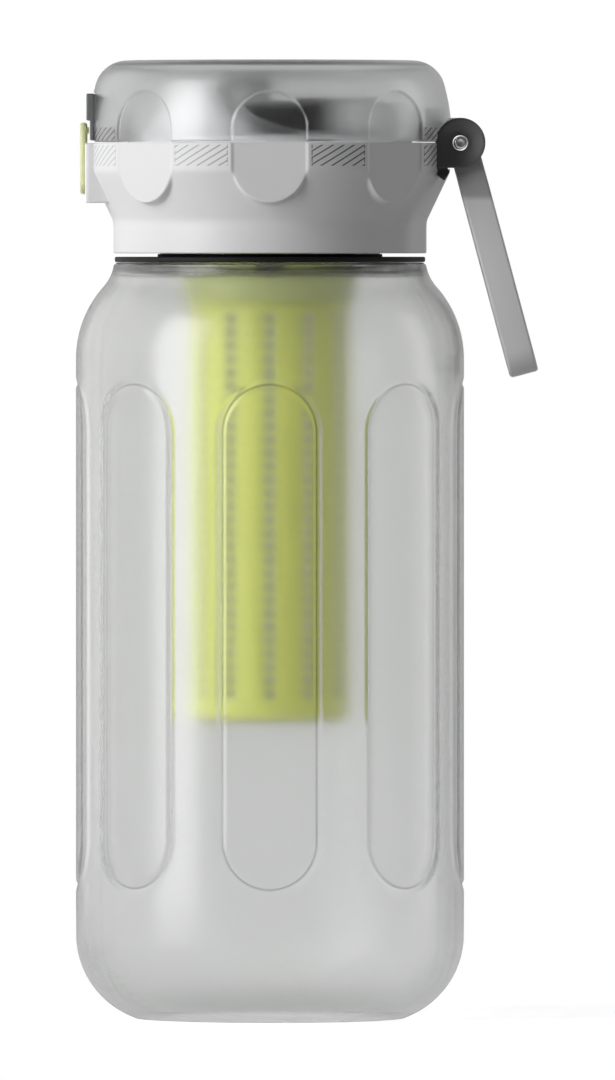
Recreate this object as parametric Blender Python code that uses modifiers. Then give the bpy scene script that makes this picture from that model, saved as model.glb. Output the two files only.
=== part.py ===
"""Filter water bottle: frosted bottle, screw cap with flip lid, rocker button, carry loop and filter.

Metres, +Z up. The origin is the centre of the flat base, on the bottle's axis. The lid's hinge is at
+X, the button at -X, and the front of the bottle faces -Y.
"""

import math

import bmesh
import bpy
from mathutils import Matrix, Vector

MM = 0.001

# Clearances
GAP = 0.3 * MM  # between pieces that only touch or turn
THREAD_GAP = 0.5 * MM  # between a thread's crest and the wall it runs along
CUT = 3.0 * MM  # how far a cutter reaches past what it cuts
REACH = 80.0 * MM  # a cutter's reach past the whole bottle
STAGGER = 0.1 * MM  # keeps faces of joined shapes out of one plane

# Bottle
BODY_RADIUS = 45.0 * MM
BODY_WALL = 2.2 * MM
BASE_THICKNESS = 2.8 * MM
CORNER_RADIUS = 20.7 * MM  # the big rounding above the base
CORNER_CUT = 1.2 * MM  # how much of it the flat base cuts off
SHOULDER_RADIUS = 25.0 * MM  # convex part of the shoulder
SHOULDER_HOLLOW = 10.0 * MM  # concave part of the shoulder
LEDGE_Z = 175.3 * MM  # height of the body without its neck
LEDGE_DROP = 1.0 * MM  # from the level where the hollow part would stand upright to the ledge
LEDGE_THICKNESS = 2.4 * MM
LEDGE_EDGE = 0.6 * MM
INNER_SHOULDER_DROP = 1.0 * MM  # where the inside's shoulder begins, below the ledge's underside
NECK_RADIUS = 25.45 * MM
NECK_WALL = 2.85 * MM
NECK_BORE = NECK_RADIUS - NECK_WALL

# Panels pressed into the bottle's side
PANEL_COUNT = 8
PANEL_WIDTH = 22.5 * MM
PANEL_BOTTOM = 30.9 * MM
PANEL_SHOULDER = 28.0 * MM  # from the panels' top to the ledge
PANEL_GROOVE_RADIUS = 0.95 * MM
PANEL_GROOVE_DEPTH = 0.45 * MM

# Neck thread
THREAD_LEAD = 5.0 * MM
THREAD_HEIGHT = 1.3 * MM
THREAD_ROOT = 2.2 * MM
THREAD_CREST = 1.0 * MM
THREAD_SINK = 0.6 * MM  # how deep a ridge is rooted in its wall
THREAD_LIFT = 10.7 * MM  # from the ledge to the neck ridge's start
THREAD_TURNS = 1.4

# Cap shell
SKIRT_RADIUS = 36.3 * MM
SKIRT_OVERHANG = 0.2 * MM  # past the bottle's ledge
SKIRT_LIFT = 2.1 * MM  # from the ledge to the skirt
SKIRT_HEIGHT = 7.5 * MM
TAPER_HEIGHT = 10.3 * MM
BAND_HEIGHT = 7.8 * MM
BAND_RADIUS = 41.8 * MM
CAP_WALL = 2.2 * MM
CAP_EDGE = 0.4 * MM
BAND_BEND = ((0.0, 1.8 * MM), (-0.25 * MM, 0.7 * MM), (-0.8 * MM, -0.6 * MM))  # from the band's lower edge
SKIRT_BEND = ((0.45 * MM, 0.9 * MM), (0.1 * MM, -0.1 * MM), (0.0, -1.4 * MM))  # from the skirt's upper edge
FLANGE_DROP = 0.7 * MM  # from the rim's top to the flange
FLANGE_THICKNESS = 2.0 * MM
RIM_WIDTH = 2.3 * MM
LEDGE_RADIUS = SKIRT_RADIUS - SKIRT_OVERHANG
SKIRT_BOTTOM = LEDGE_Z + SKIRT_LIFT
SKIRT_TOP = SKIRT_BOTTOM + SKIRT_HEIGHT
BAND_BOTTOM = SKIRT_TOP + TAPER_HEIGHT
CAP_TOP = BAND_BOTTOM + BAND_HEIGHT  # the parting line under the lid

# Ring on the shoulder
RING_THICKNESS = 1.0 * MM
RING_INSET = 0.1 * MM
RING_EDGE = 0.3 * MM

# Flats that run over cap and lid
FLAT_COUNT = 8
FLAT_DEPTH = 1.2 * MM  # in from the band
FLAT_PLANE = BAND_RADIUS - FLAT_DEPTH
FLAT_WIDTH = 17.26 * MM
FLAT_DOWN = 14.2 * MM  # below the parting line
FLAT_UP = 11.8 * MM  # above it
FLAT_BACKING = 3.6 * MM  # thickness of the pad behind a flat on the cap

# Inner cap
LINER_WALL = 2.2 * MM
LINER_LIFT = 3.7 * MM  # from the ledge to its wall
DECK_THICKNESS = 2.0 * MM
DECK_INSET = 8.9 * MM  # in from the band
DECK_RADIUS = BAND_RADIUS - DECK_INSET
DECK_BOTTOM = CAP_TOP - FLANGE_DROP + GAP
DECK_TOP = DECK_BOTTOM + DECK_THICKNESS
SEAL_CLEARANCE = 0.4 * MM  # between the neck and the wall that reaches down inside it
SEAL_WALL = 1.9 * MM
SEAT_WIDTH = 2.9 * MM  # step inside that wall, above the filter
SEAT_THICKNESS = 2.0 * MM
GASKET_THICKNESS = 1.6 * MM
NECK_TOP = DECK_BOTTOM - GASKET_THICKNESS - 2 * GAP
SEAL_OUTER = NECK_BORE - SEAL_CLEARANCE
SEAL_INNER = SEAL_OUTER - SEAL_WALL

# Lid
LID_HEIGHT = 18.8 * MM
LID_WALL = 2.2 * MM
LID_CORNER = 7.5 * MM
LID_TAPER = 1.3 * MM  # how far the wall leans in towards the top
LID_OVERHANG = 0.2 * MM  # past the cap's band
LID_EDGE = 0.4 * MM
LID_RADIUS = BAND_RADIUS + LID_OVERHANG
LID_TOP_RADIUS = LID_RADIUS - LID_TAPER - LID_CORNER
LID_RIM = CAP_TOP + GAP
LID_TOP = LID_RIM + LID_HEIGHT
ARM_THICKNESS = 1.8 * MM  # of the insert's arm under the lid's ceiling
PLUG_THICKNESS = 1.6 * MM  # of the plug between that arm and the spout
ARM_TOP = LID_TOP - LID_WALL - GAP
PLUG_TOP = ARM_TOP - ARM_THICKNESS - GAP
LID_SIDE = ((0.42, 0.47), (0.08, 0.29))  # shares of the taper and of the height, down the wall

# Spout
SPOUT_OFFSET = 14.4 * MM  # towards the button
SPOUT_BORE = 4.5 * MM
SPOUT_WALL = 1.4 * MM
SPOUT_HOLE_REACH = 0.5 * MM  # of the deck's hole below the deck
SPOUT_SPIGOT = 1.3 * MM  # wall of the spigot in the deck
SPOUT_FLARE = 16.6 * MM  # from the lip out to the foot's edge
SPOUT_FLANK = ((0.0, 0.95), (0.006, 0.757), (0.078, 0.57), (0.205, 0.411), (0.38, 0.271), (0.56, 0.159),
               (0.783, 0.084), (1.0, 0.056))  # shares of the flare and of the height
SPOUT_EDGE = DECK_RADIUS - 2 * GAP  # the foot is trimmed to this radius round the bottle's axis
SPOUT_GROOVE = 2.2 * MM  # width of the groove for its gasket
SPOUT_GASKET_THICKNESS = 1.0 * MM
SPOUT_LIP = SPOUT_BORE + SPOUT_WALL
SPIGOT_RADIUS = SPOUT_BORE + SPOUT_SPIGOT
SPOUT_BASE = DECK_TOP + GAP
SPOUT_HEIGHT = PLUG_TOP - PLUG_THICKNESS - GAP - SPOUT_BASE
SPOUT_EDGE_CUT = 0.4 * MM  # chamfer of the lip

# Hinge
PIN_REACH = 2.3 * MM  # out from the band
PIN_X = BAND_RADIUS + PIN_REACH
PIN_Z = CAP_TOP
PIN_RADIUS = 1.5 * MM
PIN_TIP = 0.35 * MM
KNUCKLE_RADIUS = 5.75 * MM
KNUCKLE_HALF = 10.6 * MM
EYE_THICKNESS = 2.2 * MM
EAR_THICKNESS = 2.4 * MM
DISH_DEPTH = 0.9 * MM
DISH_RIM = 0.55 * MM
DISH_FLOOR = 1.0 * MM  # flat floor round the pin
BRACKET_PLATE = 2.0 * MM
POCKET_WALL = 2.1 * MM
BACKING_INSET = 1.0 * MM  # how far the pocket's backing stays inside the cap's outside
KNUCKLE_ROOT = 1.5 * MM  # how deep the knuckle is rooted in the lid
BACKING_DROP = 0.8 * MM  # how far it reaches below the band
BACKING_HEIGHT = 7.75 * MM  # of the lid's block behind the hinge, above the pin
FOOT_IN = (-6.3 * MM, -6.8 * MM)  # corners of the bracket's foot, from the pin
FOOT_LOW = (-3.8 * MM, -8.8 * MM)
FOOT_OUT = (-2.5 * MM, -6.8 * MM)
FOOT_NECK = (-2.95 * MM, -6.1 * MM)
FOOT_HEIGHT = 4.8 * MM  # below the pin, where the foot joins the ear
EYE_INNER = KNUCKLE_HALF + GAP
EAR_INNER = EYE_INNER + EYE_THICKNESS + GAP
EAR_OUTER = EAR_INNER + EAR_THICKNESS
POCKET_HALF = EAR_OUTER + GAP
POCKET_X = PIN_X - KNUCKLE_RADIUS - 2 * GAP - BRACKET_PLATE

# Spring on the hinge pin
LID_SPRING_RADIUS = 3.3 * MM
LID_SPRING_WIRE = 0.8 * MM
LID_SPRING_PITCH = 1.35 * MM
LID_SPRING_CURLS = 5
LID_SPRING_SLOT = 4.2 * MM  # half width of the slot between the knuckles
LID_SPRING_UP = ((-0.1 * MM, 1.6 * MM), (0.1 * MM, 4.2 * MM))  # its upper leg, from the coil's end
LID_SPRING_DOWN = ((-0.3 * MM, -1.6 * MM), (-2.0 * MM, -4.4 * MM))
CURL_POINTS = 10

# Carry handle
HANDLE_ANGLE = 15.0  # degrees it hangs away from straight down
HANDLE_WIDTH = 6.6 * MM
HANDLE_STRAP = 3.4 * MM
HANDLE_LENGTH = 55.6 * MM
HANDLE_HALF = 16.8 * MM
HANDLE_OFFSET = 0.5 * MM
HANDLE_CORNER = 6.0 * MM
HANDLE_EDGE = 0.5 * MM
JOGGLE_START = 6.4 * MM
JOGGLE_END = 11.8 * MM

# Button housing and button
HOUSING_REACH = 1.0 * MM  # out from the band
HOUSING_FACE = BAND_RADIUS + HOUSING_REACH
HOUSING_HALF = 9.3 * MM
HOUSING_DOWN = 13.9 * MM  # below the parting line
HOUSING_BOTTOM = CAP_TOP - HOUSING_DOWN
HOUSING_SIDE = 1.7 * MM
HOUSING_FLOOR = 1.2 * MM
HOUSING_BACK = 2.2 * MM
BUTTON_REACH = 1.2 * MM  # out from the housing
BUTTON_FACE = HOUSING_FACE + BUTTON_REACH
BUTTON_THICKNESS = 1.6 * MM
BUTTON_LIFT = 2.0 * MM  # from the housing's bottom
BUTTON_HEIGHT = 16.6 * MM
BUTTON_BOTTOM = HOUSING_BOTTOM + BUTTON_LIFT
BUTTON_TOP = BUTTON_BOTTOM + BUTTON_HEIGHT
BUTTON_CORNER = 3.2 * MM
BUTTON_EDGE = 0.5 * MM
BUTTON_HALF = HOUSING_HALF - HOUSING_SIDE - GAP
BUTTON_PIN_INSET = 1.8 * MM  # in from the housing's face
BUTTON_PIN_DOWN = 3.7 * MM  # below the parting line
BUTTON_PIN_X = HOUSING_FACE - BUTTON_PIN_INSET
BUTTON_PIN_Z = CAP_TOP - BUTTON_PIN_DOWN
BUTTON_PIN_RADIUS = 0.8 * MM
BUTTON_PIN_HALF = HOUSING_HALF - 2 * GAP
BUTTON_LUG_RADIUS = 1.7 * MM
BUTTON_LUG_FLARE = 0.8 * MM
BUTTON_LUG_THICKNESS = 1.6 * MM
BUTTON_LUG_INSET = 1.3 * MM  # in from the button's side
BUTTON_LUG_HALF = BUTTON_HALF - BUTTON_LUG_INSET
HOUSING_FLOOR_X = BUTTON_PIN_X - BUTTON_LUG_RADIUS - GAP  # bottom of the pocket, behind the lugs
NOSE_UP = 2.9 * MM  # above the parting line
NOSE_Z = CAP_TOP + NOSE_UP
NOSE_HEIGHT = 1.4 * MM
NOSE_REACH = 0.4 * MM
NOSE_HALF = 4.6 * MM
ROOT = 0.4 * MM  # how deep the button's lugs and nose are rooted in its plate
BUTTON_SPRING_LIFT = 2.7 * MM  # from the button's bottom
BUTTON_SPRING_Z = BUTTON_BOTTOM + BUTTON_SPRING_LIFT
BUTTON_SPRING_RADIUS = 1.7 * MM
BUTTON_SPRING_WIRE = 0.5 * MM
BUTTON_SPRING_CURLS = 4
BUTTON_SPRING_HOLE_DEPTH = 1.4 * MM

# Latch tab on the lid
TAB_HALF = 10.0 * MM
TAB_MARGIN = 2.0 * MM  # of the seat round the tab
TAB_THICKNESS = 1.6 * MM
TAB_UP = 11.4 * MM  # above the parting line
TAB_TOP = CAP_TOP + TAB_UP
TAB_STEP_UP = 5.2 * MM
TAB_STEP_Z = CAP_TOP + TAB_STEP_UP
TAB_STEP = 0.8 * MM
TAB_EDGE = 0.3 * MM
TAB_SLOT_HALF = NOSE_HALF + 2 * GAP
TAB_SLOT_DEPTH = 0.4 * MM

# Insert and plug under the lid
INSERT_INSET = 10.3 * MM  # in from the band
INSERT_RADIUS = BAND_RADIUS - INSERT_INSET
INSERT_UP = 10.2 * MM  # above the parting line
INSERT_TOP = CAP_TOP + INSERT_UP
INSERT_LIFT = 0.7 * MM  # above the spout's foot
INSERT_CLEAR = 1.0 * MM  # between the insert and the spout's flank
INSERT_WALL = 1.6 * MM
POST_DROP = 0.3 * MM  # how deep the post is rooted in the insert
ARM_HALF = 7.5 * MM
POST_WIDTH = 6.0 * MM
PLUG_RADIUS = 7.4 * MM
PLUG_EDGE = 0.5 * MM
PLUG_CLEAR = 0.5 * MM  # between the plug's nose and the spout's bore
PLUG_NOSE = 2.0 * MM
PLUG_TAPER = 1.0 * MM

# Filter
LUG_COUNT = 2
LUG_RADIUS = 1.1 * MM
LUG_REACH = 0.9 * MM
LUG_DOWN = 6.6 * MM  # below the collar's top
LUG_TURN = 60.0  # degrees from locked to free
FILTER_GASKET_THICKNESS = 1.4 * MM
FILTER_GASKET_INSET = 0.2 * MM
COLLAR_RADIUS = SEAL_INNER - GAP
COLLAR_TOP = DECK_BOTTOM - SEAT_THICKNESS - FILTER_GASKET_THICKNESS - 2 * GAP
COLLAR_HEIGHT = 32.0 * MM
COLLAR_BOTTOM = COLLAR_TOP - COLLAR_HEIGHT
COLLAR_SOCKET = 4.4 * MM
COLLAR_WALL = 1.2 * MM  # round the socket
COLLAR_LIP = 2.8 * MM
COLLAR_EDGE = 0.4 * MM
LUG_Z = COLLAR_TOP - LUG_DOWN
SEAL_DOWN = 6.0 * MM  # of the wall inside the neck, below the lugs
SEAL_WALL_BOTTOM = LUG_Z - SEAL_DOWN
WINDOW_COUNT = 6
WINDOW_WIDTH = 6.0 * MM
WINDOW_HEIGHT = 4.0 * MM
WINDOW_UP = 5.8 * MM  # above the collar's bottom
FILTER_RADIUS = COLLAR_RADIUS - COLLAR_WALL - GAP
FILTER_WALL = 1.4 * MM
FILTER_LENGTH = 97.9 * MM  # below the collar
FILTER_BOTTOM = COLLAR_BOTTOM - FILTER_LENGTH
FILTER_CORNER = 2.4 * MM
HOLE_COLUMNS = 12
HOLE_WIDTH = 2.4 * MM
HOLE_HEIGHT = 3.1 * MM
HOLE_MARGIN = 5.3 * MM  # from the filter's bottom to its first holes
HOLE_MARGIN_TOP = 2.6 * MM
HOLES_START = FILTER_BOTTOM + HOLE_MARGIN
HOLE_ROWS = int((FILTER_LENGTH - HOLE_MARGIN - HOLE_MARGIN_TOP) / HOLE_HEIGHT)

# How finely round shapes are faceted
BIG_SEGMENTS = 48
SMALL_SEGMENTS = 32
TINY_SEGMENTS = 16
MERGE = 0.01 * MM

PARTS = "filter_water_bottle"
CUTTERS = "cutters"


def clear_scene():
    """Remove every object, so that the script starts from an empty scene."""
    for obj in list(bpy.data.objects):
        bpy.data.objects.remove(obj, do_unlink=True)


def collection(name):
    """The collection of this name, linked to the scene."""
    found = bpy.data.collections.get(name)
    if found is None:
        found = bpy.data.collections.new(name)
        bpy.context.scene.collection.children.link(found)
    return found


def material(name, color, roughness, metallic=0.0, alpha=1.0):
    """A Principled material for one piece."""
    made = bpy.data.materials.new(name)
    made.use_nodes = True
    shader = made.node_tree.nodes["Principled BSDF"]
    shader.inputs["Base Color"].default_value = (*color, 1.0)
    shader.inputs["Roughness"].default_value = roughness
    shader.inputs["Metallic"].default_value = metallic
    shader.inputs["Alpha"].default_value = alpha
    return made


def add_object(name, mesh, finish=None):
    """Link a mesh as a piece with its own finish, or as a hidden cutter where finish is None."""
    obj = bpy.data.objects.new(name, mesh)
    if finish is None:
        collection(CUTTERS).objects.link(obj)
        obj.hide_render = True
        obj.display_type = "WIRE"
    else:
        collection(PARTS).objects.link(obj)
        obj.data.materials.append(material(name, *finish))
    return obj


def arc(center_r, center_z, radius, start, end, steps):
    """Points along an arc in a turned profile, with angles in degrees from +r towards +z."""
    points = []
    for step in range(steps + 1):
        angle = math.radians(start + (end - start) * step / steps)
        points.append((center_r + radius * math.cos(angle), center_z + radius * math.sin(angle)))
    return points


def lathe(name, profile, finish=None, segments=BIG_SEGMENTS, closed=True):
    """Turn a profile of (radius, z) about Z. It runs clockwise: down outside and up inside."""
    mesh = bpy.data.meshes.new(name)
    edges = [(index, index + 1) for index in range(len(profile) - 1)]
    if closed:
        edges.append((len(profile) - 1, 0))
    mesh.from_pydata([(radius, 0.0, z) for radius, z in profile], edges, [])
    obj = add_object(name, mesh, finish)
    screw = obj.modifiers.new("Turn", "SCREW")
    screw.steps = segments
    screw.render_steps = segments
    screw.use_merge_vertices = True
    screw.merge_threshold = MERGE
    return obj


def ring(name, inner, outer, bottom, top, finish=None, segments=BIG_SEGMENTS, edge=0.0):
    """A turned ring of rectangular section, with its four edges cut by edge."""
    if edge > 0.0:
        profile = [(inner + edge, top), (outer - edge, top), (outer, top - edge), (outer, bottom + edge),
                   (outer - edge, bottom), (inner + edge, bottom), (inner, bottom + edge), (inner, top - edge)]
    else:
        profile = [(inner, top), (outer, top), (outer, bottom), (inner, bottom)]
    return lathe(name, profile, finish, segments)


def disc(name, radius, bottom, top, finish=None, segments=BIG_SEGMENTS):
    """A turned solid disc round Z."""
    profile = [(0.0, top), (radius, top), (radius, bottom), (0.0, bottom)]
    return lathe(name, profile, finish, segments, closed=False)


def block(name, low, high, finish=None, bevel=0.0):
    """A box between two corners, with its edges rounded by bevel."""
    mesh = bpy.data.meshes.new(name)
    bm = bmesh.new()
    bmesh.ops.create_cube(bm, size=1.0)
    size = [high[axis] - low[axis] for axis in range(3)]
    middle = [(high[axis] + low[axis]) / 2 for axis in range(3)]
    bmesh.ops.scale(bm, vec=size, verts=bm.verts)
    bmesh.ops.translate(bm, vec=middle, verts=bm.verts)
    bm.to_mesh(mesh)
    bm.free()
    obj = add_object(name, mesh, finish)
    if bevel > 0.0:
        round_edges(obj, bevel)
    return obj


def rod(name, start, end, radius, finish=None, segments=SMALL_SEGMENTS, tip=0.0):
    """A cylinder between two points, its ends chamfered by tip."""
    first, last = Vector(start), Vector(end)
    along = last - first
    mesh = bpy.data.meshes.new(name)
    bm = bmesh.new()
    turn = along.to_track_quat("Z", "Y").to_matrix().to_4x4()
    bmesh.ops.create_cone(bm, cap_ends=True, segments=segments, radius1=radius, radius2=radius,
                          depth=along.length, matrix=Matrix.Translation((first + last) / 2) @ turn)
    bm.to_mesh(mesh)
    bm.free()
    obj = add_object(name, mesh, finish)
    if tip > 0.0:
        round_edges(obj, tip)
    return obj


def round_edges(obj, width, segments=1):
    """Bevel the sharp edges of a piece."""
    bevel = obj.modifiers.new("Edges", "BEVEL")
    bevel.width = width
    bevel.segments = segments
    bevel.limit_method = "ANGLE"
    bevel.angle_limit = math.radians(40)
    return bevel


def mesh_of_curve(curve_object, name, finish=None):
    """A curve object made a mesh piece, its caps welded, and the curve removed."""
    bpy.context.view_layer.update()
    evaluated = curve_object.evaluated_get(bpy.context.evaluated_depsgraph_get())
    mesh = bpy.data.meshes.new_from_object(evaluated)
    mesh.name = name
    bm = bmesh.new()
    bm.from_mesh(mesh)
    bmesh.ops.remove_doubles(bm, verts=bm.verts, dist=MERGE)
    bmesh.ops.recalc_face_normals(bm, faces=bm.faces)
    bm.to_mesh(mesh)
    bm.free()
    mesh.materials.clear()
    obj = add_object(name, mesh, finish)
    obj.matrix_world = curve_object.matrix_world
    bpy.data.objects.remove(curve_object)
    return obj


def plate(name, outline, thickness, placing, finish=None):
    """A flat outline given a thickness. Placing takes the outline's plane, x right and y up, to the model."""
    curve = bpy.data.curves.new(name + "_outline", "CURVE")
    curve.dimensions = "2D"
    curve.fill_mode = "BOTH"
    curve.extrude = thickness / 2
    spline = curve.splines.new("POLY")
    spline.points.add(len(outline) - 1)
    for point, (x, y) in zip(spline.points, outline):
        point.co = (x, y, 0.0, 1.0)
    spline.use_cyclic_u = True
    flat = bpy.data.objects.new(name + "_outline", curve)
    collection(PARTS).objects.link(flat)
    flat.matrix_world = placing
    return mesh_of_curve(flat, name, finish)


def wire(name, points, radius, finish=None, cyclic=False, sides=1):
    """A round wire through the points, as a mesh."""
    curve = bpy.data.curves.new(name + "_path", "CURVE")
    curve.dimensions = "3D"
    curve.bevel_depth = radius
    curve.bevel_resolution = sides
    curve.use_fill_caps = not cyclic
    spline = curve.splines.new("POLY")
    spline.points.add(len(points) - 1)
    for point, place in zip(spline.points, points):
        point.co = (*place, 1.0)
    spline.use_cyclic_u = cyclic
    path = bpy.data.objects.new(name + "_path", curve)
    collection(PARTS).objects.link(path)
    return mesh_of_curve(path, name, finish)


def swept(name, section, degrees, lead, steps, finish=None):
    """A section of (radius, z) carried round Z by an angle, climbing by lead each turn, with closed ends."""
    mesh = bpy.data.meshes.new(name)
    bm = bmesh.new()
    corners = [bm.verts.new((radius, 0.0, z)) for radius, z in section]
    loop = [bm.edges.new((corners[index - 1], corners[index])) for index in range(len(corners))]
    turn = math.radians(degrees)
    climb = lead * degrees / 360 / steps
    bmesh.ops.spin(bm, geom=corners + loop, cent=(0, 0, 0), axis=(0, 0, 1), dvec=(0, 0, climb),
                   angle=turn, steps=steps, use_merge=False, use_normal_flip=False, use_duplicate=False)
    bmesh.ops.holes_fill(bm, edges=bm.edges)
    bmesh.ops.recalc_face_normals(bm, faces=bm.faces)
    bm.to_mesh(mesh)
    bm.free()
    return add_object(name, mesh, finish)


def boolean(target, other, operation):
    """Join another shape to a piece, cut it out, or keep only what both share."""
    modifier = target.modifiers.new(other.name[:40], "BOOLEAN")
    modifier.operation = operation
    modifier.solver = "EXACT"
    modifier.object = other


def join(target, *others):
    """Add the other shapes to a piece."""
    for other in others:
        boolean(target, other, "UNION")


def cut(target, *others):
    """Take the other shapes out of a piece."""
    for other in others:
        boolean(target, other, "DIFFERENCE")


def joint_axis(name, place):
    """An empty on a joint's axis."""
    empty = bpy.data.objects.new(name, None)
    empty.empty_display_size = 5 * MM
    empty.location = place
    collection(PARTS).objects.link(empty)
    return empty


def carry(parent, *children):
    """Parent pieces to an empty and keep them where they are."""
    bpy.context.view_layer.update()
    for child in children:
        child.parent = parent
        child.matrix_parent_inverse = parent.matrix_world.inverted()


def turned_copies(mesh, degrees_list):
    """Replace a mesh by its copies turned about Z."""
    bm = bmesh.new()
    for degrees in degrees_list:
        before = len(bm.verts)
        bm.from_mesh(mesh)
        bm.verts.ensure_lookup_table()
        bmesh.ops.rotate(bm, cent=(0, 0, 0), matrix=Matrix.Rotation(math.radians(degrees), 3, "Z"),
                         verts=bm.verts[before:])
    bm.to_mesh(mesh)
    bm.free()


# Bottle

def shoulder_arcs():
    """The shoulder's two arcs: the hollow one's centre, the round one's, and the angle where they meet."""
    hollow_r = LEDGE_RADIUS + SHOULDER_HOLLOW
    hollow_z = LEDGE_Z + LEDGE_DROP
    round_r = BODY_RADIUS - SHOULDER_RADIUS
    rise = math.sqrt((SHOULDER_RADIUS + SHOULDER_HOLLOW) ** 2 - (hollow_r - round_r) ** 2)
    return (hollow_r, hollow_z), (round_r, hollow_z - rise), math.degrees(math.atan2(rise, hollow_r - round_r))


def shoulder_profile(inset, steps):
    """The shoulder from the top down, moved in by inset: a hollow arc that runs on into a round one."""
    hollow, rounded, turn = shoulder_arcs()
    start = math.degrees(math.asin((LEDGE_DROP + LEDGE_EDGE) / SHOULDER_HOLLOW))
    upper = arc(*hollow, SHOULDER_HOLLOW + inset, 180 + start, 180 + turn, steps - 1)
    lower = arc(*rounded, SHOULDER_RADIUS - inset, turn, 0, steps)
    return upper + lower[1:]


def corner_profile(inset, floor, steps):
    """The rounding above the base from the top down to the height floor, moved in by inset."""
    radius = CORNER_RADIUS - inset
    center = CORNER_RADIUS - CORNER_CUT
    stop = math.degrees(math.asin((floor - center) / radius))
    return arc(BODY_RADIUS - CORNER_RADIUS, center, radius, 0, stop, steps)


def panel_path():
    """The outline of one panel on the bottle's side, facing +X."""
    half = PANEL_WIDTH / 2
    centers = ((LEDGE_Z - PANEL_SHOULDER - half, 0), (PANEL_BOTTOM + half, 180))
    radius = BODY_RADIUS + PANEL_GROOVE_RADIUS - PANEL_GROOVE_DEPTH
    points = []
    for center, start in centers:
        for across, z in arc(0.0, center, half, start, start + 180, 8):
            turn = across / BODY_RADIUS
            points.append((radius * math.cos(turn), radius * math.sin(turn), z))
    return points


def neck_thread(name, wall, outward, start, finish=None):
    """A thread ridge on a round wall: outward on the neck, inward in the cap."""
    direction = 1 if outward else -1
    root = wall - direction * THREAD_SINK
    crest = wall + direction * THREAD_HEIGHT
    section = [(root, start - THREAD_ROOT / 2), (root, start + THREAD_ROOT / 2),
               (crest, start + THREAD_CREST / 2), (crest, start - THREAD_CREST / 2)]
    steps = int(round(THREAD_TURNS * 28))
    return swept(name, section, 360 * THREAD_TURNS, THREAD_LEAD, steps, finish)


def build_bottle():
    """The bottle body with its neck, thread and panels."""
    floor = BASE_THICKNESS
    inner_top = LEDGE_Z - LEDGE_THICKNESS
    inner_shoulder = [(r, z) for r, z in shoulder_profile(BODY_WALL, 4) if z < inner_top - INNER_SHOULDER_DROP]
    top_inner_radius = inner_shoulder[0][0]
    inner = [(0.0, floor)]
    inner += list(reversed(corner_profile(BODY_WALL, floor, 4)))
    inner += list(reversed(inner_shoulder))
    inner += [(top_inner_radius - 2 * LEDGE_EDGE, inner_top), (NECK_BORE, inner_top)]
    inner += [(NECK_BORE, NECK_TOP - LEDGE_EDGE), (NECK_BORE + LEDGE_EDGE, NECK_TOP)]
    outer = [(NECK_RADIUS - LEDGE_EDGE, NECK_TOP), (NECK_RADIUS, NECK_TOP - LEDGE_EDGE)]
    outer += [(NECK_RADIUS, LEDGE_Z), (LEDGE_RADIUS - LEDGE_EDGE, LEDGE_Z)]
    outer += shoulder_profile(0.0, 5)
    outer += corner_profile(0.0, 0.0, 6)
    outer += [(0.0, 0.0)]
    body = lathe("bottle_body", inner + outer, ((0.82, 0.84, 0.83), 0.35, 0.0, 0.4), closed=False)
    join(body, neck_thread("neck_thread", NECK_RADIUS, True, LEDGE_Z + THREAD_LIFT))
    grooves = wire("panel_grooves", panel_path(), PANEL_GROOVE_RADIUS, cyclic=True, sides=0)
    turned_copies(grooves.data, [360 / PANEL_COUNT * index for index in range(PANEL_COUNT)])
    cut(body, grooves)
    shoulder_ring = ring("shoulder_ring", NECK_RADIUS + GAP, LEDGE_RADIUS - RING_INSET, LEDGE_Z + GAP,
                         LEDGE_Z + GAP + RING_THICKNESS, ((0.03, 0.03, 0.03), 0.6), edge=RING_EDGE)
    return body, shoulder_ring


# Cap

def flat_angles():
    """Directions of the flats: all round but for the hinge and the button."""
    return [360 / FLAT_COUNT * index for index in range(FLAT_COUNT) if index not in (0, FLAT_COUNT // 2)]


def stadium(width, bottom, top, bottom_round=True, top_round=True, steps=10):
    """An upright outline with half-circle ends, or square ones."""
    half = width / 2
    points = []
    if top_round:
        points += arc(0.0, top - half, half, 0, 180, steps)
    else:
        points += [(half, top), (-half, top)]
    if bottom_round:
        points += arc(0.0, bottom + half, half, 180, 360, steps)
    else:
        points += [(-half, bottom), (half, bottom)]
    return points


def facing_x(distance):
    """Placing of an outline whose x runs along Y and whose y is Z, at a distance along X."""
    return Matrix(((0, 0, 1, distance), (1, 0, 0, 0), (0, 1, 0, 0), (0, 0, 0, 1)))


def side_view(offset_y=0.0, x=0.0, z=0.0):
    """Placing of an outline whose x is X and whose y is Z, at a place."""
    return Matrix(((1, 0, 0, x), (0, 0, -1, offset_y), (0, 1, 0, z), (0, 0, 0, 1)))


def flats(name, outline, low, high):
    """Blocks of one outline between two distances from the axis, in every direction of the flats."""
    made = plate(name, outline, high - low, facing_x((low + high) / 2))
    made.data.transform(made.matrix_world)
    made.matrix_world = Matrix.Identity(4)
    turned_copies(made.data, flat_angles())
    return made


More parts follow.
